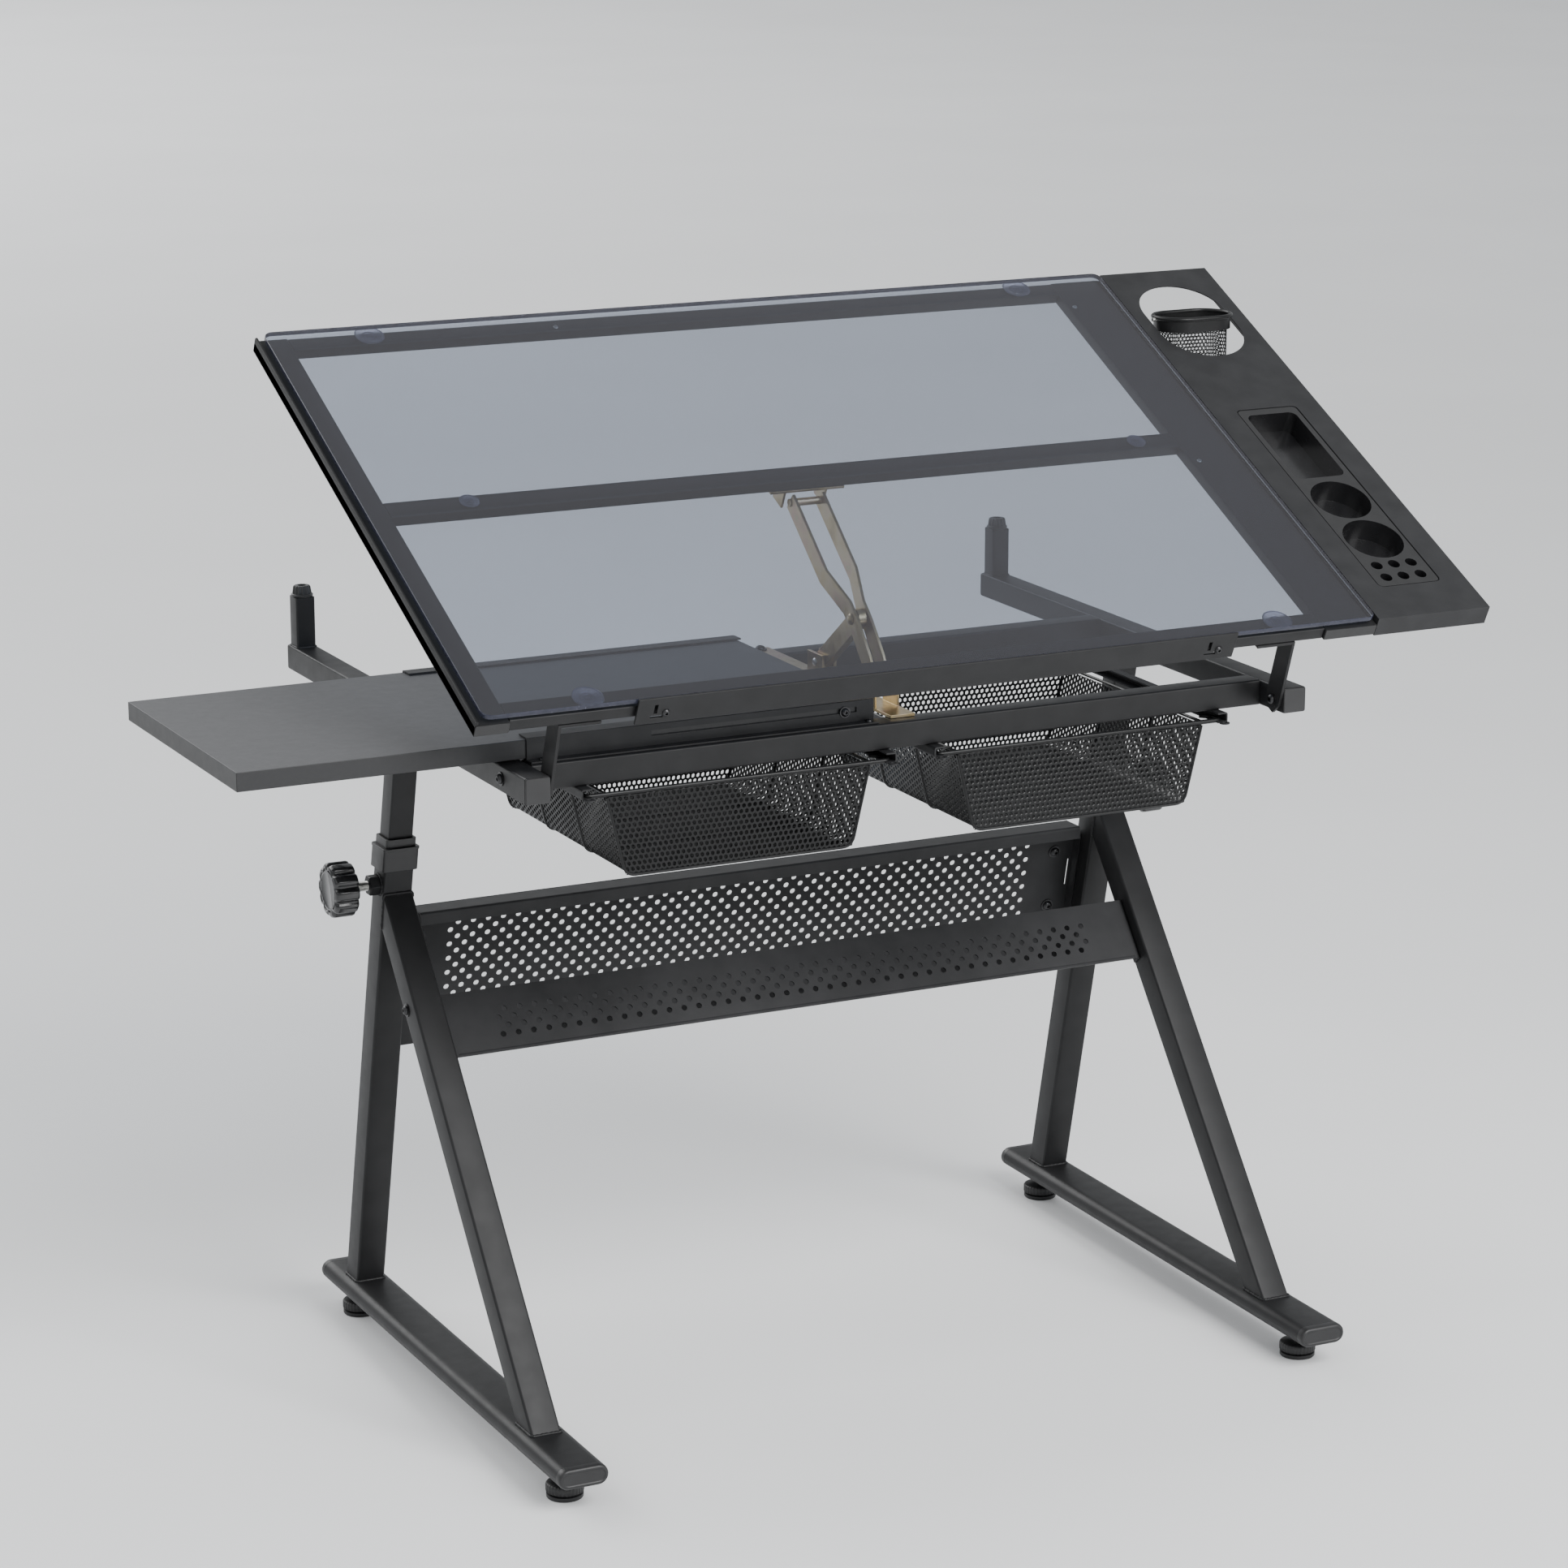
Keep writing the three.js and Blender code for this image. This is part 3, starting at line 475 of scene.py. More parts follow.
class Nodes:
    """A new material's node tree around one Principled shader."""

    def __init__(self, name, **sockets):
        self.material = bpy.data.materials.new(name)
        self.material.use_nodes = True
        self.tree = self.material.node_tree
        self.shader = self.tree.nodes["Principled BSDF"]
        for socket, value in sockets.items():
            self.shader.inputs[socket.replace("_", " ")].default_value = value
        self.place = self.add("ShaderNodeTexCoord").outputs["Object"]

    def add(self, kind, **inputs):
        node = self.tree.nodes.new(kind)
        for socket, value in inputs.items():
            self.feed(node.inputs[socket.replace("_", " ")], value)
        return node

    def power(self, source, exponent):
        node = self.tree.nodes.new("ShaderNodeMath")
        node.operation = "POWER"
        self.tree.links.new(source, node.inputs[0])
        node.inputs[1].default_value = exponent
        return node.outputs[0]

    def feed(self, socket, value):
        if isinstance(value, bpy.types.NodeSocket):
            self.tree.links.new(value, socket)
        else:
            socket.default_value = value

    def noise(self, scale, detail, rough=0.5):
        made = self.add("ShaderNodeTexNoise", Vector=self.place, Scale=scale, Detail=detail, Roughness=rough)
        return made.outputs["Fac"]

    def ramp(self, source, stops):
        made = self.add("ShaderNodeValToRGB", Fac=source)
        elements = made.color_ramp.elements
        for end in (0, -1):
            elements[end].position = stops[end][0]
            elements[end].color = (*stops[end][1], 1)
        for position, colour in stops[1:-1]:
            elements.new(position).color = (*colour, 1)
        return made.outputs["Color"]

    def between(self, source, low, high):
        made = self.add("ShaderNodeMapRange", Value=source, To_Min=low, To_Max=high)
        return made.outputs["Result"]

    def colour(self, noise, stops):
        """Runs a noise, (scale, detail) or (scale, detail, roughness), through stops of colour."""
        self.feed(self.shader.inputs["Base Color"], self.ramp(self.noise(*noise), stops))

    def roughness(self, noise, low, high):
        self.feed(self.shader.inputs["Roughness"], self.between(self.noise(*noise), low, high))

    def bump(self, noise, strength, distance):
        made = self.add("ShaderNodeBump", Height=self.noise(*noise), Strength=strength, Distance=distance)
        self.feed(self.shader.inputs["Normal"], made.outputs["Normal"])


def powder_coat(name, shade, rough, grain=0.35):
    """Textured baked powder on steel: a fine orange peel and slightly uneven gloss."""
    nodes = Nodes(name, Metallic=0.0, Specular_IOR_Level=0.25)
    dark = scaled(shade, 0.82)
    light = scaled(shade, 1.18)
    nodes.colour((35, 4), [(0.3, dark), (0.7, light)])
    nodes.roughness((60, 3), rough - 0.06, rough + 0.08)
    nodes.bump((1500, 2, 0.6), grain, 0.12 * MM)
    return nodes.material


def moulded_plastic(name, shade, rough, coat=0.0):
    """Moulded plastic: a spark-eroded grain under a soft sheen."""
    nodes = Nodes(name, Specular_IOR_Level=0.5, Coat_Weight=coat, Coat_Roughness=0.12)
    dark = scaled(shade, 0.85)
    light = scaled(shade, 1.2)
    nodes.colour((80, 3), [(0.3, dark), (0.75, light)])
    nodes.roughness((140, 3), rough - 0.05, rough + 0.07)
    nodes.bump((2600, 2), 0.12, 0.06 * MM)
    return nodes.material


def rubber_material():
    nodes = Nodes("rubber", Specular_IOR_Level=0.35, Sheen_Weight=0.1)
    nodes.colour((120, 4), [(0.3, (0.012,) * 3), (0.8, (0.024,) * 3)])
    nodes.roughness((200, 3), 0.38, 0.58)
    nodes.bump((1800, 3), 0.25, 0.08 * MM)
    return nodes.material


def melamine(name, tone):
    """Printed board: satin, faintly mottled, with a fine pressed grain."""
    nodes = Nodes(name, Specular_IOR_Level=0.4)
    shades = [(0.25, (0.047, 0.048, 0.051)), (0.55, (0.055, 0.056, 0.059)), (0.8, (0.063, 0.064, 0.067))]
    stops = [(place, scaled(shade, tone)) for place, shade in shades]
    nodes.colour((220, 6, 0.7), stops)
    nodes.roughness((90, 4), 0.42, 0.54)
    nodes.bump((900, 4, 0.6), 0.16, 0.08 * MM)
    return nodes.material


def steel_material(name, shade, rough):
    """Plated or blackened steel with light tool marks."""
    nodes = Nodes(name, Metallic=1.0)
    dark = scaled(shade, 0.78)
    nodes.colour((260, 4), [(0.3, dark), (0.7, shade)])
    nodes.roughness((500, 3), rough - 0.08, rough + 0.1)
    nodes.bump((3000, 2), 0.1, 0.05 * MM)
    return nodes.material


def zinc_material():
    """Yellow passivated zinc: brassy plate that drifts to pink and green."""
    nodes = Nodes("yellow_zinc", Metallic=1.0, Anisotropic=0.3)
    film = [
        (0.30, (0.34, 0.26, 0.14)),
        (0.43, (0.47, 0.37, 0.20)),
        (0.52, (0.50, 0.41, 0.26)),
        (0.62, (0.48, 0.33, 0.24)),
        (0.72, (0.35, 0.37, 0.21)),
    ]
    nodes.colour((38, 5, 0.6), film)
    nodes.roughness((240, 4), 0.22, 0.42)
    nodes.bump((1400, 3), 0.15, 0.06 * MM)
    return nodes.material


def glass_material():
    """Tinted tempered glass: it dims what is behind it and mirrors by Fresnel. Two faces lie in the way."""
    nodes = Nodes("blue_glass")
    tree = nodes.tree
    tree.nodes.remove(nodes.shader)
    tint = nodes.ramp(nodes.noise(3, 2), [(0.3, (0.61, 0.645, 0.70)), (0.7, (0.625, 0.66, 0.715))])
    clear = nodes.add("ShaderNodeBsdfTransparent", Color=tint)
    gloss = nodes.add("ShaderNodeBsdfGlossy", Color=(1, 0.95, 0.97, 1), Roughness=0.015)
    facing_away = nodes.add("ShaderNodeLayerWeight", Blend=0.5).outputs["Facing"]
    share = nodes.between(nodes.power(facing_away, 4.8), 0.07, 0.85)
    both = nodes.add("ShaderNodeMixShader", Fac=share)
    tree.links.new(clear.outputs["BSDF"], both.inputs[1])
    tree.links.new(gloss.outputs["BSDF"], both.inputs[2])
    tree.links.new(both.outputs["Shader"], tree.nodes["Material Output"].inputs["Surface"])
    return nodes.material


def glass_edge_material():
    """The ground rim of the glass, which looks milky blue."""
    nodes = Nodes("blue_glass_edge", Transmission_Weight=0.15, Specular_IOR_Level=0.25)
    nodes.colour((160, 3), [(0.3, (0.022, 0.024, 0.038)), (0.7, (0.038, 0.04, 0.06))])
    nodes.roughness((400, 3), 0.18, 0.32)
    return nodes.material


def vinyl_material(name, tone, alpha):
    """Clear soft vinyl with a violet cast."""
    nodes = Nodes(name, Transmission_Weight=0.85, IOR=1.45, Alpha=alpha)
    pale, paler = (0.40, 0.39, 0.60), (0.52, 0.51, 0.70)
    stops = [(0.3, scaled(pale, tone)), (0.7, scaled(paler, tone))]
    nodes.colour((150, 3), stops)
    nodes.roughness((300, 3), 0.08, 0.2)
    return nodes.material


Finish = namedtuple("Finish", "material slot")  # a material and the part's slot that it fills
MATT = "matte_black_plastic"
POWDER = Finish(powder_coat("powder_coat", (0.0115, 0.0116, 0.0122), 0.44, grain=0.16), "powder_coat")
LEDGE_BLACK = Finish(POWDER.material, "sheet_black")
# Partly painted light: the sheets' own black is raised above the tubes' powder coat, standing in for the
# light on the rack's front panel; every sheet part shares this lighter black.
SHEET_BLACK_AND_PAINTED_LIGHT = Finish(powder_coat("sheet_black", (0.0185, 0.0187, 0.0198), 0.48, grain=0.2), "sheet_black")
PLASTIC = Finish(moulded_plastic("black_plastic", (0.009, 0.009, 0.0098), 0.24, coat=0.3), "black_plastic")
SATIN_PLASTIC = Finish(moulded_plastic("satin_plastic", (0.013, 0.013, 0.0135), 0.4), "black_plastic")
MATT_PLASTIC = Finish(moulded_plastic(MATT, (0.011, 0.011, 0.0116), 0.45), MATT)
MESH_BLACK = Finish(powder_coat("wire_mesh", (0.006, 0.0061, 0.0064), 0.34, grain=0.1), "wire_mesh")
RUBBER = Finish(rubber_material(), "rubber")
BOARD = Finish(melamine("dark_board", 1), "dark_board")
# Painted shade: the board's narrow faces get its print at 0.35 of the brightness, standing in for the shade
# on faces turned away from the light above.
BOARD_EDGE_SHADE = melamine("dark_board_edge_painted_shade", 0.35)  # the board's narrow faces
ZINC = Finish(zinc_material(), "yellow_zinc")
BRIGHT = Finish(steel_material("bright_zinc", (0.62, 0.62, 0.6), 0.3), "yellow_zinc")
BLACK_STEEL = Finish(steel_material("black_oxide", (0.06, 0.06, 0.062), 0.38), "powder_coat")
GLASS = Finish(glass_material(), "blue_glass")
GLASS_EDGE = glass_edge_material()
VINYL = Finish(vinyl_material("clear_vinyl", 1, 0.55), "clear_vinyl")
# Painted shade: a darker, less clear copy of the vinyl, for the dark lines where the clear cups are seen
# edge-on.
VINYL_EDGE_SHADE = Finish(vinyl_material("clear_vinyl_painted_edge_shade", 0.35, 0.9), "clear_vinyl")


# ---- small hardware ----
def facing(place, direction):
    """A matrix that puts a form made along +Z at place, looking along direction."""
    turn = Vector(direction).to_track_quat("Z", "Y").to_matrix().to_4x4()
    return Matrix.Translation(Vector(place)) @ turn


def button_head(radius, height):
    """A domed head with a six-sided socket."""
    profile = [(radius * 0.97, 0), (radius, height * 0.2), (radius * 0.86, height * 0.7)]
    profile += [(radius * 0.62, height * 0.96), (radius * 0.5, height)]
    sides = 30
    rows = [circle(r, sides, h) for r, h in profile]
    socket = []
    for i in range(sides):
        angle = 2 * pi * i / sides
        reach = radius * 0.42 * cos(pi / 6) / cos((angle + pi / 6) % (pi / 3) - pi / 6)
        socket.append((reach * cos(angle), reach * sin(angle)))
    rows += [[(x, y, h) for x, y in socket] for h in (height, height * 0.35)]
    return rings(rows)


def pan_head(radius, height):
    """A round head with a low raised cross, which stands for its recess."""
    profile = [(radius, 0), (radius, height * 0.35), (radius * 0.85, height * 0.78)]
    profile += [(radius * 0.5, height), (0, height)]
    shape = lathe(profile, 28)
    outline = rounded_rectangle(radius * 1.1, radius * 0.26, radius * 0.05, 1)
    stroke = slab(outline, height * 0.9, height * 1.04)
    for turn in (0, pi / 2):
        shape.join(stroke.moved(Matrix.Rotation(turn, 4, "Z")))
    return shape


def washer(radius, bore, thick):
    rows = [circle(bore, 28, 0), circle(radius, 28, 0), circle(radius, 28, thick), circle(bore, 28, thick)]
    return rings(rows, closed=True)


def bolt_and_washer(radius):
    """A button head on its washer, standing on a face."""
    head = button_head(radius, radius * 0.64).moved(Vector((0, 0, 1 * MM)))
    return washer(radius * 1.36, radius * 0.6, 1 * MM).join(head)


def bolt(name, radius, place, direction, body):
    """A bolt's head and washer on a face at place, looking along direction."""
    head = bolt_and_washer(radius).moved(facing(place, direction))
    piece(name, head, BLACK_STEEL, body)


def rivet(radius, height):
    """A low domed head."""
    profile = [(radius, 0), (radius, height * 0.3), (radius * 0.8, height * 0.75)]
    return lathe(profile + [(radius * 0.4, height), (0, height)], 24)


def threaded(radius, low, high, pitch=1.25 * MM):
    """A stud with rings of thread."""
    turns = int((high - low) / pitch)
    profile = [(0, low), (radius * 0.8, low)]
    for i in range(turns):
        profile += [(radius * 0.84, low + (i + 0.15) * pitch), (radius, low + (i + 0.65) * pitch)]
    return lathe(profile + [(radius * 0.8, high), (0, high)], 24)


def weld_bead(name, corners, radius, body):
    """A lumpy bead along a closed loop of corners."""
    path = filleted(corners, 3 * MM, closed=True)
    dense = []
    for i, p in enumerate(path):
        n = path[(i + 1) % len(path)]
        steps = max(1, int((n - p).length / (1.6 * MM)))
        dense += [p.lerp(n, k / steps) for k in range(steps)]

    def lumps(i):
        return 1 + 0.16 * sin(i * 2.1) + 0.08 * sin(i * 5.3)

    piece(name, wire(dense, radius, 8, closed=True, swell=lumps), POWDER, body, smooth=60)


# ---- the stand ----
def leg_y(z):
    """Centre of the back legs' leaning line at a height."""
    low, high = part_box("column_left")
    bottom = low.y + COLUMN / 2 / cos(LEG_LEAN)
    return bottom + (high.z - z) * tan(LEG_LEAN)


def lean_tube(x, z0, z1, size, radius, wall):
    """A square tube along the back legs' line, cut level at both ends."""
    ends = (x, leg_y(z0), z0), (x, leg_y(z1), z1)
    return tube(*ends, (size, size), radius, wall, (1, 0, 0), (UP, UP))


def foot_bar(side):
    node = "foot_bar_" + side
    low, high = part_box(node)
    look(node, bar(low, high, 1, (high.z - low.z) / 2), POWDER)


def foot_cap(side, end):
    """A stadium plug with a raised rim line and a flat middle."""
    node = "foot_cap_%s_%s" % (end, side)
    low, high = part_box(node)
    size = high - low
    rows = []
    steps = [(0, 0), (0, 0.55), (0.35, 0.8), (1.3, 0.97), (2.4, 1.0), (3.4, 1.0), (3.9, 0.93), (5, 0.92)]
    for inset, reach in steps:
        trim = 2 * inset * MM
        loop = rounded_rectangle(size.x - trim, size.z - trim, size.z / 2, 6)
        rows.append([(x, y, reach * size.y) for x, y in loop])
    way, inner_y = (-1, high.y) if end == "front" else (1, low.y)
    turn = Matrix(((1, 0, 0), (0, 0, way), (0, 1, 0))).to_4x4()
    place = Matrix.Translation((middle(node).x, inner_y, middle(node).z))
    look(node, rings(rows).moved(place @ turn), MATT_PLASTIC, smooth=50)


def levelling_foot(side, end):
    """A knurled two-tier pad on a threaded stem."""
    node = "levelling_foot_%s_%s" % (end, side)
    low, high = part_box(node)
    r = (high.x - low.x) / 2
    h = 15 * MM
    base = lathe([(0, 0), (r * 0.93, 0), (r * 0.97, 1 * MM), (r * 0.97, 4 * MM), (r * 0.8, 5 * MM)], 72)
    upper = [(r * 0.8, 4.6 * MM), (r * 0.94, 5.4 * MM), (r, 6.4 * MM), (r, h - 2 * MM)]
    upper += [(r * 0.93, h - 0.6 * MM), (r * 0.5, h), (r * 0.34, h + 0.6 * MM), (0, h + 0.6 * MM)]
    tier = lathe(upper, 120, flutes=30, depth=0.7 * MM)
    place = Vector((*middle(node).xy, low.z))
    look(node, base.join(tier).moved(place), MATT_PLASTIC, smooth=50)
    stem = threaded(4 * MM, h, high.z - low.z).moved(place)
    piece(node + "_stem", stem, BRIGHT, "leveller_%s_%s" % (end, side))


def back_leg(side):
    node = "back_leg_" + side
    low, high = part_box(node)
    x = middle("foot_bar_" + side).x
    look(node, lean_tube(x, low.z, high.z, LEG, 2.5 * MM, 2 * MM), POWDER)
    foot = Vector((x, leg_y(low.z), low.z))
    weld_bead(node + "_weld", rectangle(foot, LEG, LEG / cos(LEG_LEAN)), 1.7 * MM, "stand")


def clamp_boss(side):
    """The welded nut on the outer face of the leg, with its bead."""
    sign = SIDES[side]
    x = middle("foot_bar_" + side).x + sign * LEG / 2
    knob = middle("clamp_knob_" + side)
    nut = slab(circle(10.6 * MM, 6), 0, 11.4 * MM, 0.9 * MM)
    nut = nut.moved(facing((x, knob.y, knob.z), (sign, 0, 0)))
    piece("clamp_nut_" + side, nut, POWDER, "stand", bevel=0.5 * MM)
    reach = 10.4 * MM
    angles = [i * pi / 8 for i in range(16)]
    ring = [(x, knob.y + reach * cos(a), knob.z + reach * sin(a)) for a in angles]
    weld_bead("clamp_nut_weld_" + side, ring, 1.5 * MM, "stand")


def front_leg(side):
    """The leg that leans back against the front face of the back leg and is welded to it."""
    node = "front_leg_" + side
    low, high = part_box(node)
    x = (low.x + high.x) / 2
    depth = LEG / cos(FRONT_LEAN)
    start = Vector((x, low.y + depth / 2, low.z))
    rise = Vector((0, sin(FRONT_LEAN), cos(FRONT_LEAN)))
    plane = Vector((0, cos(LEG_LEAN), sin(LEG_LEAN)))  # square to the back leg's front face
    face = Vector((x, leg_y(0) - LEG / 2 / cos(LEG_LEAN) - GAP, 0))
    end = start + rise * ((face - start).dot(plane) / rise.dot(plane))
    look(node, tube(start, end, (LEG, LEG), 2.5 * MM, SHEET, (1, 0, 0), (UP, plane)), POWDER)
    weld_bead(node + "_weld", rectangle((x, start.y, low.z), LEG, depth), 1.7 * MM, "stand")
    slant = LEG / 2 / rise.dot(plane)
    up_face = Vector((0, -sin(LEG_LEAN), cos(LEG_LEAN)))
    corners = [end + Vector((sx * LEG / 2, 0, 0)) + up_face * sy * slant for sx, sy in CORNERS]
    weld_bead(node + "_joint_weld", corners, 1.6 * MM, "stand")


def clamp_knob(side):
    """A scalloped knob with a dished face, on a threaded stud. Its lettering is left out."""
    node = "clamp_knob_" + side
    low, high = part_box(node)
    sign = SIDES[side]
    knob = middle(node)
    r = (high.z - low.z) / 2
    length = 25 * MM
    outer = high.x if sign > 0 else low.x
    profile = [(r * 0.34, -5 * MM), (r * 0.36, 0), (r * 0.9, 0.2 * MM), (r * 0.975, 1.6 * MM), (r, 3.4 * MM)]
    profile += [(r, length - 4 * MM), (r * 0.97, length - 1.8 * MM), (r * 0.9, length - 0.3 * MM)]
    profile += [(r * 0.82, length)]
    profile += [(r * 0.79, length - 1.2 * MM), (0, length - 1.2 * MM)]
    grip = lathe(profile, 240, flutes=10, depth=3.4 * MM, narrow=3)
    base = Vector((outer - sign * length, knob.y, knob.z))
    turn = facing(base, (sign, 0, 0))
    body = "knob_" + side
    look(node, grip.moved(turn), PLASTIC, smooth=45)
    rim = [(r * 0.7, length - 1.3 * MM), (r * 0.72, length - 0.5 * MM), (r * 0.66, length - 0.4 * MM)]
    dial = lathe(rim + [(r * 0.64, length - 0.9 * MM), (0, length - 0.7 * MM)], 64).moved(turn)
    piece(node + "_dial", dial, PLASTIC, body, smooth=45)
    reach = abs(outer - sign * length - (middle("foot_bar_" + side).x + sign * LEG / 2))
    stud = threaded(5 * MM, -reach + 4 * MM, -3 * MM).moved(turn)
    piece(node + "_stud", stud, BRIGHT, body)


def collar(side):
    """A stepped plastic sleeve with a lip."""
    node = "leg_collar_" + side
    low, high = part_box(node)
    x = (low.x + high.x) / 2
    width = high.x - low.x
    neck = high.z - 9 * MM
    skirt = lean_tube(x, low.z, neck - 2.5 * MM, width, 3.5 * MM, (width - LEG) / 2 - 0.4 * MM)
    wide = width + 1.2 * MM
    lip = lean_tube(x, neck - 3 * MM, neck, wide, 4 * MM, (wide - COLUMN) / 2 - 0.4 * MM)
    top = lean_tube(x, neck - 0.5 * MM, high.z, 31 * MM, 3.4 * MM, 2.6 * MM)
    look(node, skirt.join(lip, top), MATT_PLASTIC, bevel=0.5 * MM)


def back_panel():
    """The perforated back of the rack, with a folded top, a lip, end tabs and bolts."""
    node = "rack_back_panel"
    low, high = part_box(node)
    width = high.x - low.x
    slope = (high.z - low.z) / cos(LEG_LEAN)
    centre_z = (high.z + low.z) / 2
    behind = 16 * MM + SHEET / 2
    face = Vector((0, -sin(LEG_LEAN), cos(LEG_LEAN)))
    out = Vector((0, -cos(LEG_LEAN), -sin(LEG_LEAN)))
    edge = 12 * MM
    flat = width - 2 * edge
    tab_ends = [-slope / 2, slope / 2 - 14 * MM]

    def at(x, v):
        return Vector((MIDDLE_X + x, leg_y(centre_z) + behind, centre_z)) + face * v

    sheet = perforated(flat, slope, at, row=8.05 * MM, rows=12, rise=10 * MM)
    for sign in SIDES.values():
        slit_x = sign * (width / 2 - 4.5 * MM)
        slit = (slit_x - 0.8 * MM, slit_x + 0.8 * MM, 1.6 * MM, 32.6 * MM)
        sheet.join(plate([sign * flat / 2, sign * (width / 2 - SHEET)], tab_ends, [slit], at))
    look(node, sheet, SHEET_BLACK_AND_PAINTED_LIGHT, "rack_back_sheet", thick=SHEET)
    top_y = leg_y(high.z) + behind
    fold_y = top_y - 26.5 * MM
    profile = [(top_y + 1 * MM, high.z - 4 * MM), (top_y, high.z - SHEET / 2)]
    profile += [(fold_y, high.z - SHEET / 2), (fold_y, high.z - 13 * MM)]
    folded(node + "_fold", profile, low.x + edge, high.x - edge)
    for side, sign in SIDES.items():
        end_x = (high.x if sign > 0 else low.x) - sign * SHEET / 2
        rows = []
        for v in tab_ends:
            root = Vector((end_x, *at(0, v).yz))
            rows.append([root, root - Vector((0, TAB_DEPTH, 0))])
        piece("rack_back_tab_" + side, ribbon(*rows), SHEET_BLACK_AND_PAINTED_LIGHT, "stand", thick=1.2 * MM)
        for number, rise in enumerate((43.6 * MM, -20.4 * MM), 1):
            place = at(sign * (width / 2 - 23 * MM), rise) + out * SHEET / 2
            bolt("rack_back_bolt_%s_%d" % (side, number), 5 * MM, place, out, "stand")


def folded(name, profile, x0, x1):
    """A sheet of the rack folded along (y, z) points, pulled along X."""
    path = filleted([(0, y, z) for y, z in profile], 2 * MM, 4)
    rows = [[(x, p.y, p.z) for p in path] for x in (x0, x1)]
    piece(name, ribbon(*rows), SHEET_BLACK_AND_PAINTED_LIGHT, "stand", thick=SHEET)


def front_panel():
    """The perforated front of the rack: folded back along its foot and at its ends, bolted to the legs."""
    node = "rack_front_panel"
    low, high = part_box(node)
    width = high.x - low.x
    slope = (high.z - low.z) / cos(FRONT_LEAN)
    face = Vector((0, sin(FRONT_LEAN), cos(FRONT_LEAN)))
    out = Vector((0, -cos(FRONT_LEAN), sin(FRONT_LEAN)))
    bottom = Vector((MIDDLE_X, low.y, low.z)) - out * SHEET / 2
    bend = 6 * MM
    floor_depth = 61 * MM
    flat = width - 2 * bend

    def at(x, v):
        return bottom + Vector((x, 0, 0)) + face * (slope / 2 + v)

    sheet = perforated(flat, slope, at, row=8.74 * MM, rows=4, rise=-2.7 * MM)
    look(node, sheet, SHEET_BLACK_AND_PAINTED_LIGHT, "rack_front_sheet", thick=SHEET)
    foot = at(0, -slope / 2)
    profile = [(foot.y + 2 * MM, foot.z + 2.5 * MM), (foot.y, foot.z + SHEET / 2)]
    profile += [(foot.y + floor_depth, foot.z + SHEET / 2)]
    folded("rack_front_floor", profile, low.x + bend, high.x - bend)
    back = -out * TAB_DEPTH
    for side, sign in SIDES.items():
        edge = Vector((sign * (width / 2 - SHEET / 2), 0, 0))
        path = filleted([Vector((sign * flat / 2, 0, 0)), edge, edge + back], bend, 8)
        rows = [[p + at(0, v) for p in path] for v in (-slope / 2, slope / 2)]
        piece("rack_front_tab_" + side, ribbon(*rows), SHEET_BLACK_AND_PAINTED_LIGHT, "stand", thick=SHEET)
        x = middle("foot_bar_" + side).x + sign * LEG / 2
        place = Vector((x, *(at(0, slope * 0.38) + back * 0.5).yz))
        bolt("rack_front_bolt_" + side, 4.8 * MM, place, (sign, 0, 0), "stand")


def build_stand():
    for side in SIDES:
        foot_bar(side)
        back_leg(side)
        front_leg(side)
        clamp_boss(side)
        clamp_knob(side)
        collar(side)
        for end in ("front", "back"):
            foot_cap(side, end)
            levelling_foot(side, end)
    back_panel()
    front_panel()


# ---- the upper frame ----
def side_rail(side):
    """The level rail with its end plugs and the stop post welded near its back end."""
    node = "side_rail_" + side
    low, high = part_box(node)
    sign = SIDES[side]
    x = (low.x + high.x) / 2
    z = RAIL_TOP - RAIL / 2
    cap = 2.2 * MM
    post_front = high.y - 24 * MM
    post = Vector((x, post_front + POST / 2, RAIL_TOP))
    post_top = Vector((x, post.y, high.z))
    shape = tube((x, low.y + cap, z), (x, high.y - cap, z), (RAIL, RAIL), 2 * MM, SHEET, (1, 0, 0))
    shape.join(tube(post, post_top, (POST, POST), 2 * MM, SHEET, (1, 0, 0)))
    look(node, shape, POWDER)
    weld_bead(node + "_post_weld", rectangle(post, POST, POST), 1.4 * MM, "upper_frame")
    outline = rounded_rectangle(RAIL - 0.6 * MM, RAIL - 0.6 * MM, 2 * MM)
    for end, y, way in (("front", low.y + cap, -1), ("back", high.y - cap, 1)):
        plug = slab(outline, -3 * MM, cap, 0.8 * MM).moved(facing((x, y, z), (0, way, 0)))
        piece("%s_plug_%s" % (node, end), plug, MATT_PLASTIC, "upper_frame")
    for crossing in ("front_crossbar", "rear_crossbar"):
        place = (x + sign * RAIL / 2, middle(crossing).y, z)
        bolt("%s_bolt_%s" % (node, crossing), 4.8 * MM, place, (sign, 0, 0), "upper_frame")


def post_plug(side):
    """A tapered, fluted rubber plug with a hole in its top."""
    node = "post_bumper_" + side
    low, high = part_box(node)
    r = (high.x - low.x) / 2
    h = high.z - low.z
    ring = lathe([(r * 0.9, -0.3 * MM), (r, 0.4 * MM), (r, 2.2 * MM), (r * 0.9, 3 * MM)], 72)
    profile = [(r * 0.9, 2.6 * MM), (r * 0.8, h - 1.2 * MM), (r * 0.7, h), (r * 0.4, h)]
    profile.append((r * 0.36, h - 4 * MM))
    plug = lathe(profile, 108, flutes=14, depth=1.1 * MM)
    look(node, ring.join(plug).moved(Vector((*middle(node).xy, low.z))), RUBBER, smooth=50)


def column(side):
    node = "column_" + side
    low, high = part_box(node)
    x = middle(node).x
    look(node, lean_tube(x, low.z, high.z, COLUMN, 2 * MM, SHEET), POWDER)
    head = Vector((x, leg_y(high.z), high.z))
    weld_bead(node + "_weld", rectangle(head, COLUMN, COLUMN / cos(LEG_LEAN)), 1.5 * MM, "upper_frame")


def crossbar(node):
    low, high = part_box(node)
    look(node, bar(low, high, 0, 2 * MM), POWDER)


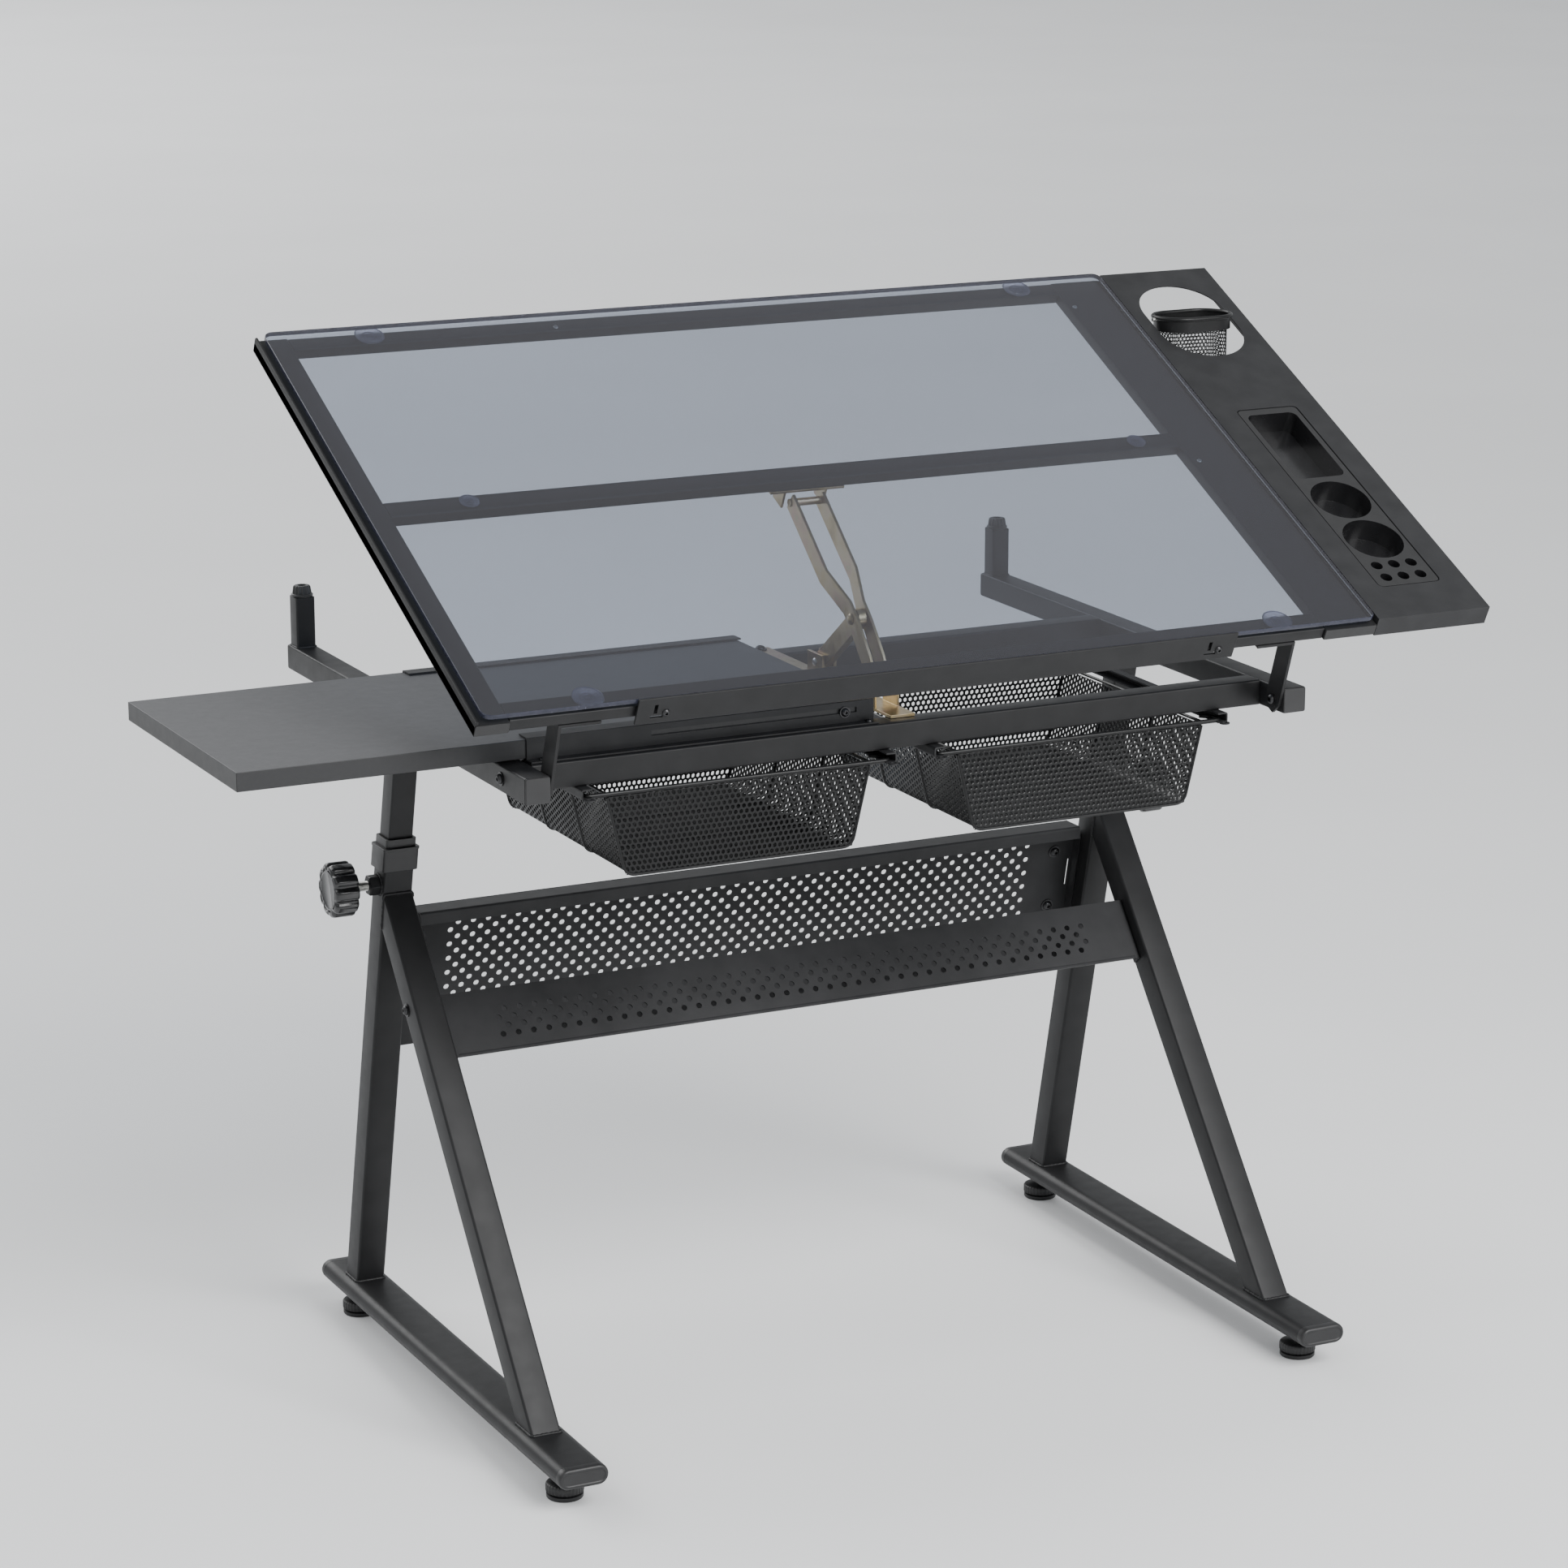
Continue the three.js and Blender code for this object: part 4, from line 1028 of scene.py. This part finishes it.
def drawer_runner(side, letter):
    """A C channel whose lower lip ends in a rounded tab with a hole."""
    node = "drawer_runner_%s_%s" % (side, letter)
    low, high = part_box(node)
    opens = 1 if letter == "a" else -1
    web = (low.x if opens > 0 else high.x) + opens * SHEET / 2
    lip = web + opens * (high.x - low.x - SHEET / 2)
    bottom, top = low.z + SHEET / 2, high.z - SHEET / 2
    path = filleted([(lip, 0, bottom), (web, 0, bottom), (web, 0, top), (lip, 0, top)], 1.5 * MM, 3)
    rows = [[(p.x, y, p.z) for p in path] for y in (low.y, high.y)]
    look(node, ribbon(*rows), SHEET_BLACK_AND_PAINTED_LIGHT, thick=SHEET)
    place = Vector(((web + lip) / 2, low.y - 4 * MM, low.z))
    piece(node + "_tab", washer(5 * MM, 2.4 * MM, 1.3 * MM).moved(place), SHEET_BLACK_AND_PAINTED_LIGHT, "upper_frame")


def shelf_channel(which):
    """A folded channel that the shelf slides in; the front one has a slot for the stop bolt."""
    node = "shelf_channel_" + which
    low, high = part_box(node)
    outer, toward = (low.y, 1) if which == "front" else (high.y, -1)
    half = SHEET / 2
    web = outer + toward * (CHANNEL_FOOT + half)
    flange = outer + toward * (CHANNEL_FOOT + 18 * MM)
    xs = [low.x, high.x]
    floor, top = low.z + half, high.z - half
    slot = (low.x + 124 * MM, high.x - 18 * MM, low.z + 10.5 * MM, low.z + 15.5 * MM)
    shape = plate(xs, [floor, top], [slot] if which == "front" else [], upright(web))
    for z in (top, floor):
        shape.join(plate(xs, [web, flange], [], level(z)))
    look(node, shape, SHEET_BLACK_AND_PAINTED_LIGHT, thick=SHEET, weld=True)
    piece(node + "_foot", plate(xs, [outer, web], [], level(floor)), SHEET_BLACK_AND_PAINTED_LIGHT, "upper_frame", SHEET)
    for number, x in enumerate((low.x + 13 * MM, high.x - 8 * MM)):
        place = (x, outer + toward * CHANNEL_FOOT / 2, low.z + SHEET)
        head = pan_head(3.4 * MM, 2.2 * MM).moved(facing(place, UP))
        piece("%s_screw_%d" % (node, number), head, BLACK_STEEL, "upper_frame")


def build_upper():
    for side in SIDES:
        side_rail(side)
        post_plug(side)
        column(side)
        for letter in "ab":
            drawer_runner(side, letter)
    for node in ("front_crossbar", "rear_crossbar"):
        crossbar(node)
    for which in ("front", "rear"):
        shelf_channel(which)


# ---- the shelf ----
def build_shelf():
    """The board, with painted shade on its upright narrow faces, and the bolt that stops it in the front
    channel's slot.
    """
    made = refined("side_shelf", BOARD, 0.7 * MM)
    made.data.materials.append(BOARD_EDGE_SHADE)
    # Faces that stand upright take the painted shade of the edge material.
    for face in made.data.polygons:
        face.material_index = 1 if abs(face.normal.z) < 0.5 else 0
    low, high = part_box("side_shelf")
    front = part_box("shelf_channel_front")[0].y + CHANNEL_FOOT
    place = (high.x - 28 * MM, front, (low.z + high.z) / 2 + 0.5 * MM)
    bolt("side_shelf_stop_bolt", 4 * MM, place, (0, -1, 0), "side_shelf")


# ---- the mesh drawers ----
def mesh_drawer(side):
    """A trough of expanded mesh on bent wires, hung by its front wire and side wires in two runners."""
    node = "mesh_drawer_" + side
    body = "drawer_" + side
    low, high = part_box(node)
    centre = (low.x + high.x) / 2
    top_half, bottom_half = 134 * MM, 116 * MM
    top, bottom = high.z - 5 * MM, low.z + 1.6 * MM
    front, back = low.y + 2.5 * MM, high.y - 2 * MM
    section = [(-top_half, top), (-bottom_half, bottom), (bottom_half, bottom), (top_half, top)]
    trough = filleted([(centre + x, 0, z) for x, z in section], 10 * MM, 6)
    lengths = distances(trough)

    def on_trough(u, v):
        p = point_along(trough, lengths, u)
        return (p.x, front + v, p.z)

    cell, strand = 6.0 * MM, 2.1 * MM
    net = honeycomb(lengths[-1], back - front, cell, strand, on_trough)
    height = top - bottom

    def on_wall(y):
        def place(u, v):
            half = bottom_half + (top_half - bottom_half) * v / height
            return (centre + (u / top_half - 1) * half, y, bottom + v)

        return place

    for y in (front, back):
        net.join(honeycomb(2 * top_half, height, cell, strand, on_wall(y)))
    look(node, net, MESH_BLACK, node + "_net", thick=1.3 * MM, weld=True)
    thin, thick = 1.6 * MM, 2.3 * MM
    hoops = Shape()
    drop = Vector((0, 0, -0.6 * MM))
    for y in (front, front + (back - front) / 3, front + (back - front) * 2 / 3, back):
        hoops.join(wire([Vector((p.x, y, p.z)) + drop for p in trough], thin))
    piece(node + "_hoops", hoops, MESH_BLACK, body)
    rail_half = 158 * MM
    z = high.z - thick
    inset = 15 * MM
    y = low.y + thick
    outer, tip = rail_half - 3 * MM, rail_half - 12 * MM
    end = inset + 9 * MM
    corners = [(-tip, end), (-outer, inset), (-outer, 0), (outer, 0), (outer, inset), (tip, end)]
    rim = filleted([(centre + across, y + back_by, z) for across, back_by in corners], 5 * MM, 6)
    bars = wire(rim, thick, 12)
    bars.join(wire([(centre - top_half, back, z), (centre + top_half, back, z)], thick, 12))
    for sign in (-1, 1):
        x = centre + sign * (top_half + 1 * MM)
        outer_x = centre + sign * outer
        bars.join(wire([(x, front, z), (x, back, z)], thin, 10))
        hook = filleted([(x, back, z), (outer_x, back, z), (outer_x, back - 22 * MM, z)], 6 * MM, 5)
        bars.join(wire(hook, thin, 10))
    piece(node + "_rim", bars, MESH_BLACK, body)


# ---- the tilting top ----
def glass():
    low, high = in_top("glass_top")
    centre = (low + high) / 2
    loop = rounded_rectangle(high.x - low.x, high.y - low.y, 9 * MM, 8, centre.x, centre.y)
    shape = slab(loop, low.z, high.z, 0.7 * MM).moved(TOP_FRAME)
    made = look("glass_top", shape, GLASS, smooth=30)
    made.data.materials.append(GLASS_EDGE)
    normal = TOP_FRAME.to_3x3() @ UP
    for face in made.data.polygons:
        face.material_index = 0 if abs(face.normal.dot(normal)) > 0.98 else 1


def top_bar(node):
    """A bar of the top's frame; those that run up the slope have plugs, and the left one has a lip."""
    low, high = in_top(node)
    up_slope = high.y - low.y > high.x - low.x
    lip = 4 * MM if node == "top_bar_left" else 0
    top = high.z - lip
    look(node, bar(low, Vector((high.x, high.y, top)), int(up_slope), 1.6 * MM).moved(TOP_FRAME), POWDER)
    if up_slope:
        outline = rounded_rectangle(high.x - low.x - 1 * MM, top - low.z - 1 * MM, 1.2 * MM)
        plugs = Shape()
        for v, way in ((low.y, -1), (high.y, 1)):
            place = ((low.x + high.x) / 2, v, (low.z + top) / 2)
            plugs.join(slab(outline, -3 * MM, 0.9 * MM, 0.4 * MM).moved(facing(place, (0, way, 0))))
        piece(node + "_plugs", plugs.moved(TOP_FRAME), MATT_PLASTIC, "table_top")
    if lip:
        tall = high.z - low.z
        strip = rounded_rectangle(3 * MM, tall, 1.2 * MM, 3, low.x + 1.5 * MM, low.z + tall / 2)
        rows = [[(x, y, z) for x, z in strip] for y in (low.y, high.y)]
        piece(node + "_lip", rings(rows).moved(TOP_FRAME), POWDER, "table_top")


def suction_cup(row, side):
    """A clear cup under the glass: a thin bell, a neck and a mushroom head in the bar."""
    node = "suction_cup_%s_%s" % (row, side)
    low, high = in_top(node)
    r = (high.x - low.x) / 2
    h = high.z - low.z
    profile = [(r * 0.42, 0), (r * 0.5, 0.3 * h), (r * 0.72, 0.55 * h), (r * 0.97, 0.82 * h), (r, h)]
    profile += [(r * 0.9, h), (r * 0.62, 0.8 * h), (0, 0.74 * h)]
    centre = (low + high) / 2
    place = TOP_FRAME @ Matrix.Translation((centre.x, centre.y, low.z))
    look(node, lathe(profile, 48).moved(place), VINYL, smooth=50)
    # Painted shade: thin rings of the darker vinyl at the bell's rim, round the neck and round the head,
    # where the clear cup is seen edge-on.
    painted_edge_shade = Shape()
    for reach, height in ((r * 0.94, h * 0.84), (r * 0.45, h * 0.62), (r * 0.22, h * 0.7)):
        painted_edge_shade.join(wire(circle(reach, 48, height), 0.45 * MM, 8, closed=True))
    piece(node + "_rims", painted_edge_shade.moved(place), VINYL_EDGE_SHADE, "table_top", smooth=50)


def tray_screws():
    """Bright self-tapping screws that hold the bars from above."""
    bar_top = in_top("top_bar_right")[1].z
    for i, (x, v) in enumerate(((422, 561), (-156, 593), (424, 281))):
        place = TOP_FRAME @ Vector((x * MM, v * MM, bar_top))
        head = pan_head(2.6 * MM, 1.2 * MM).moved(facing(place, TOP_FRAME.to_3x3() @ UP))
        piece("bar_screw_%d" % (i + 1), head, BRIGHT, "table_top")


def ledge():
    """The lip that paper rests on, with an L of slots and a bolt near each end."""
    low, high = in_top("paper_ledge")
    slots = []
    bolts = []
    for x in (-294 * MM, 284 * MM):
        slots.append((x - 1.6 * MM, x + 1.6 * MM, -16 * MM, -6 * MM))
        slots.append((x - 4.5 * MM, x + 8 * MM, -20.8 * MM, -18 * MM))
        bolts.append(x + 10.5 * MM)
    shape = plate([low.x, high.x], [low.z, high.z], slots, upright((low.y + high.y) / 2))
    look("paper_ledge", shape.moved(TOP_FRAME), LEDGE_BLACK, thick=high.y - low.y, bevel=0.5 * MM)
    out = TOP_FRAME.to_3x3() @ Vector((0, -1, 0))
    for i, x in enumerate(bolts):
        place = TOP_FRAME @ Vector((x, low.y, -15.6 * MM))
        head = button_head(3.6 * MM, 2.4 * MM).moved(facing(place, out))
        piece("paper_ledge_bolt_%d" % (i + 1), head, BLACK_STEEL, "ledge")


def hinge_arm(side):
    node = "hinge_arm_" + side
    refined(node, POWDER, 0.5 * MM)
    sign = SIDES[side]
    low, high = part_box(node)
    edge = high.x - 3 * MM if sign > 0 else low.x + 3 * MM
    bolt(node + "_bolt", 4.6 * MM, (edge, *joint_place("top_tilt")[1:]), (-sign, 0, 0), "table_top")


def organizer():
    """The moulded insert: satin on its top face, glossy inside its pockets, dull underneath."""
    made = refined("tray_organizer", SATIN_PLASTIC, 0.9 * MM)
    made.data.materials.append(PLASTIC.material)
    made.data.materials.append(MATT_PLASTIC.material)
    turn = TOP_FRAME.inverted()
    for face in made.data.polygons:
        up = (turn.to_3x3() @ face.normal).z
        on_top = (turn @ face.center).z > -4 * MM and up > 0.98
        underneath = up < -0.5
        face.material_index = 0 if on_top else 2 if underneath else 1


def build_top():
    glass()
    for name in ("left", "right", "front", "middle", "back"):
        top_bar("top_bar_" + name)
    for row in ("front", "middle", "back"):
        for side in SIDES:
            suction_cup(row, side)
    refined("tray_panel", SHEET_BLACK_AND_PAINTED_LIGHT, 0.5 * MM)
    organizer()
    for side in SIDES:
        hinge_arm(side)
    tray_screws()
    ledge()


# ---- the pencil cup ----
def pencil_cup():
    """An oval cup: a rolled rim, a plain band, and an inset body of diamond mesh."""
    node = "pencil_cup"
    low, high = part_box(node)
    centre = middle(node)
    half_x, half_y = (high.x - low.x) / 2 - 4 * MM, (high.y - low.y) / 2

    def oval(grow, z, steps=12):
        wide, deep = 2 * (half_x + grow), 2 * (half_y + grow)
        loop = rounded_rectangle(wide, deep, deep / 2, steps, centre.x, centre.y)
        return [Vector((x, y, z)) for x, y in loop]

    rim_z = high.z - 2.3 * MM
    rim = wire(oval(-1.2 * MM, rim_z), 2.3 * MM, 12, closed=True)
    band_low = high.z - 16 * MM
    rows = [oval(-1.6 * MM, rim_z), oval(-1.6 * MM, band_low), oval(-4.8 * MM, band_low - 1 * MM)]
    rows += [oval(-5.8 * MM, band_low - 1 * MM), oval(-2.8 * MM, band_low + 1 * MM), oval(-2.8 * MM, rim_z)]
    band = rings(rows, closed=True)
    look(node, rim.join(band), MESH_BLACK, node + "_rim", smooth=50)
    inset, cell, strand = 5.2 * MM, 4.2 * MM, 0.95 * MM
    outline = oval(-inset, 0, 16)
    outline.append(outline[0])
    lengths = distances(outline)
    girth = lengths[-1]
    floor = low.z + 2 * MM

    def on_wall(u, v):
        p = point_along(outline, lengths, u)
        return (p.x, p.y, floor + v)

    even_cell = girth / round(girth / cell)
    net = honeycomb(girth, band_low - floor, even_cell, strand, on_wall)
    wide, deep = 2 * (half_x - inset), 2 * (half_y - inset)

    def on_floor(u, v):
        return (centre.x - wide / 2 + u, centre.y - deep / 2 + v, floor)

    def in_oval(u, v):
        dx = max(abs(u - wide / 2) - (wide - deep) / 2, 0)
        return hypot(dx, v - deep / 2) < deep / 2 - 1 * MM

    net.join(honeycomb(wide, deep, cell, strand, on_floor, in_oval))
    piece(node + "_net", net, MESH_BLACK, node, thick=0.6 * MM, weld=True)
    foot = wire(oval(-inset, floor), 1.6 * MM, 10, closed=True)
    piece(node + "_foot", foot, MESH_BLACK, node)
    pivot = joint_place("cup_swing")
    pins = Shape()
    for sign in (-1, 1):
        x = centre.x + sign * (half_x - 2 * MM)
        pins.join(wire([(x, pivot[1], pivot[2]), (x + sign * 6 * MM, pivot[1], pivot[2])], 2 * MM, 12))
    piece(node + "_pins", pins, BRIGHT, node)


# ---- the lift ----
def build_lift():
    half = 9.5 * MM  # half the strut's width
    strut_low, strut_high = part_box("lift_strut")
    crossing = (strut_low.y + half, strut_high.z - half)
    for name in ("arms", "strut", "base", "pawl", "top_plate"):
        refined("lift_" + name, ZINC, 0.35 * MM)
    pawl = joint_place("lift_strut_pivot")
    for side, sign in SIDES.items():
        head = rivet(5.5 * MM, 2.4 * MM).moved(facing((MIDDLE_X + sign * 8.8 * MM, *crossing), (sign, 0, 0)))
        piece("lift_crossing_rivet_" + side, head, ZINC, "lift_arms")
        place = (MIDDLE_X + sign * 8 * MM, pawl[1], pawl[2])
        pin = rivet(4 * MM, 2 * MM).moved(facing(place, (sign, 0, 0)))
        piece("lift_pawl_pin_" + side, pin, BRIGHT, "lift_pawl")
    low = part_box("lift_base")[0]
    place = Vector((MIDDLE_X, middle("rear_crossbar").y, low.z + 3 * MM))
    bolt("lift_base_bolt", 5 * MM, place, UP, "upper_frame")


# ---- the studio ----
def studio():
    """A plain pale floor, a pale surround and five soft lamps."""
    floor_mesh = bpy.data.meshes.new("floor")
    width = 90
    floor_mesh.from_pydata(rectangle(Vector(), width, width), [], [(0, 1, 2, 3)])
    floor = bpy.data.objects.new("floor", floor_mesh)
    bpy.context.scene.collection.objects.link(floor)
    nodes = Nodes("floor", Specular_IOR_Level=0.3, Roughness=0.55)
    nodes.colour((1.2, 3), [(0.3, (0.80, 0.805, 0.81)), (0.7, (0.83, 0.835, 0.84))])
    floor_mesh.materials.append(nodes.material)
    floor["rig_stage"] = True
    world = bpy.data.worlds.new("studio")
    bpy.context.scene.world = world
    world.use_nodes = True
    surround = world.node_tree.nodes["Background"]
    surround.inputs["Color"].default_value = (0.80, 0.82, 0.84, 1)
    surround.inputs["Strength"].default_value = 0.8
    lamps = [
        ("key", (0.9, -3.2, 3.1), 2.4, 220, (0, 0, 0.6)),
        ("low", (1.9, -3.0, 1.5), 1.4, 34, (0, 0, 0.35)),
        ("fill", (-2.8, -1.6, 2.8), 2.4, 15, (0, 0, 0.6)),
        ("back", (-2.6, 2.2, 3.6), 3.0, 55, (0, 0, 0.6)),
        ("backdrop", (-4.0, 15.0, 8.0), 12.0, 2300, (-4.0, 15.0, 0)),
    ]
    for name, place, width, power, target in lamps:
        lamp = bpy.data.lights.new(name, "AREA")
        lamp.shape = "SQUARE"
        lamp.size = width
        lamp.energy = power
        made = bpy.data.objects.new(name, lamp)
        made.matrix_world = facing(place, Vector(place) - Vector(target))
        bpy.context.scene.collection.objects.link(made)


def camera():
    """The viewpoint: slightly left of the front, a little above the top."""
    data = bpy.data.cameras.new("camera")
    data.sensor_width = 36
    data.lens = 103.89
    data.shift_x = -0.00775
    data.shift_y = 0.00968
    data.clip_end = 200
    made = bpy.data.objects.new("camera", data)
    made.location = (-1.8978, -3.8759, 1.6748)
    made.rotation_euler = (radians(75.4), 0, radians(-26.31))
    bpy.context.scene.collection.objects.link(made)
    bpy.context.scene.camera = made


build_stand()
build_upper()
build_shelf()
for drawer_side in SIDES:
    mesh_drawer(drawer_side)
build_top()
pencil_cup()
build_lift()
studio()
camera()

bounds_at_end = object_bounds()
sizes = {"at_load": bounds_at_load, "at_end": bounds_at_end}
{k: [list(corner) for corner in v] for k, v in sizes.items()}
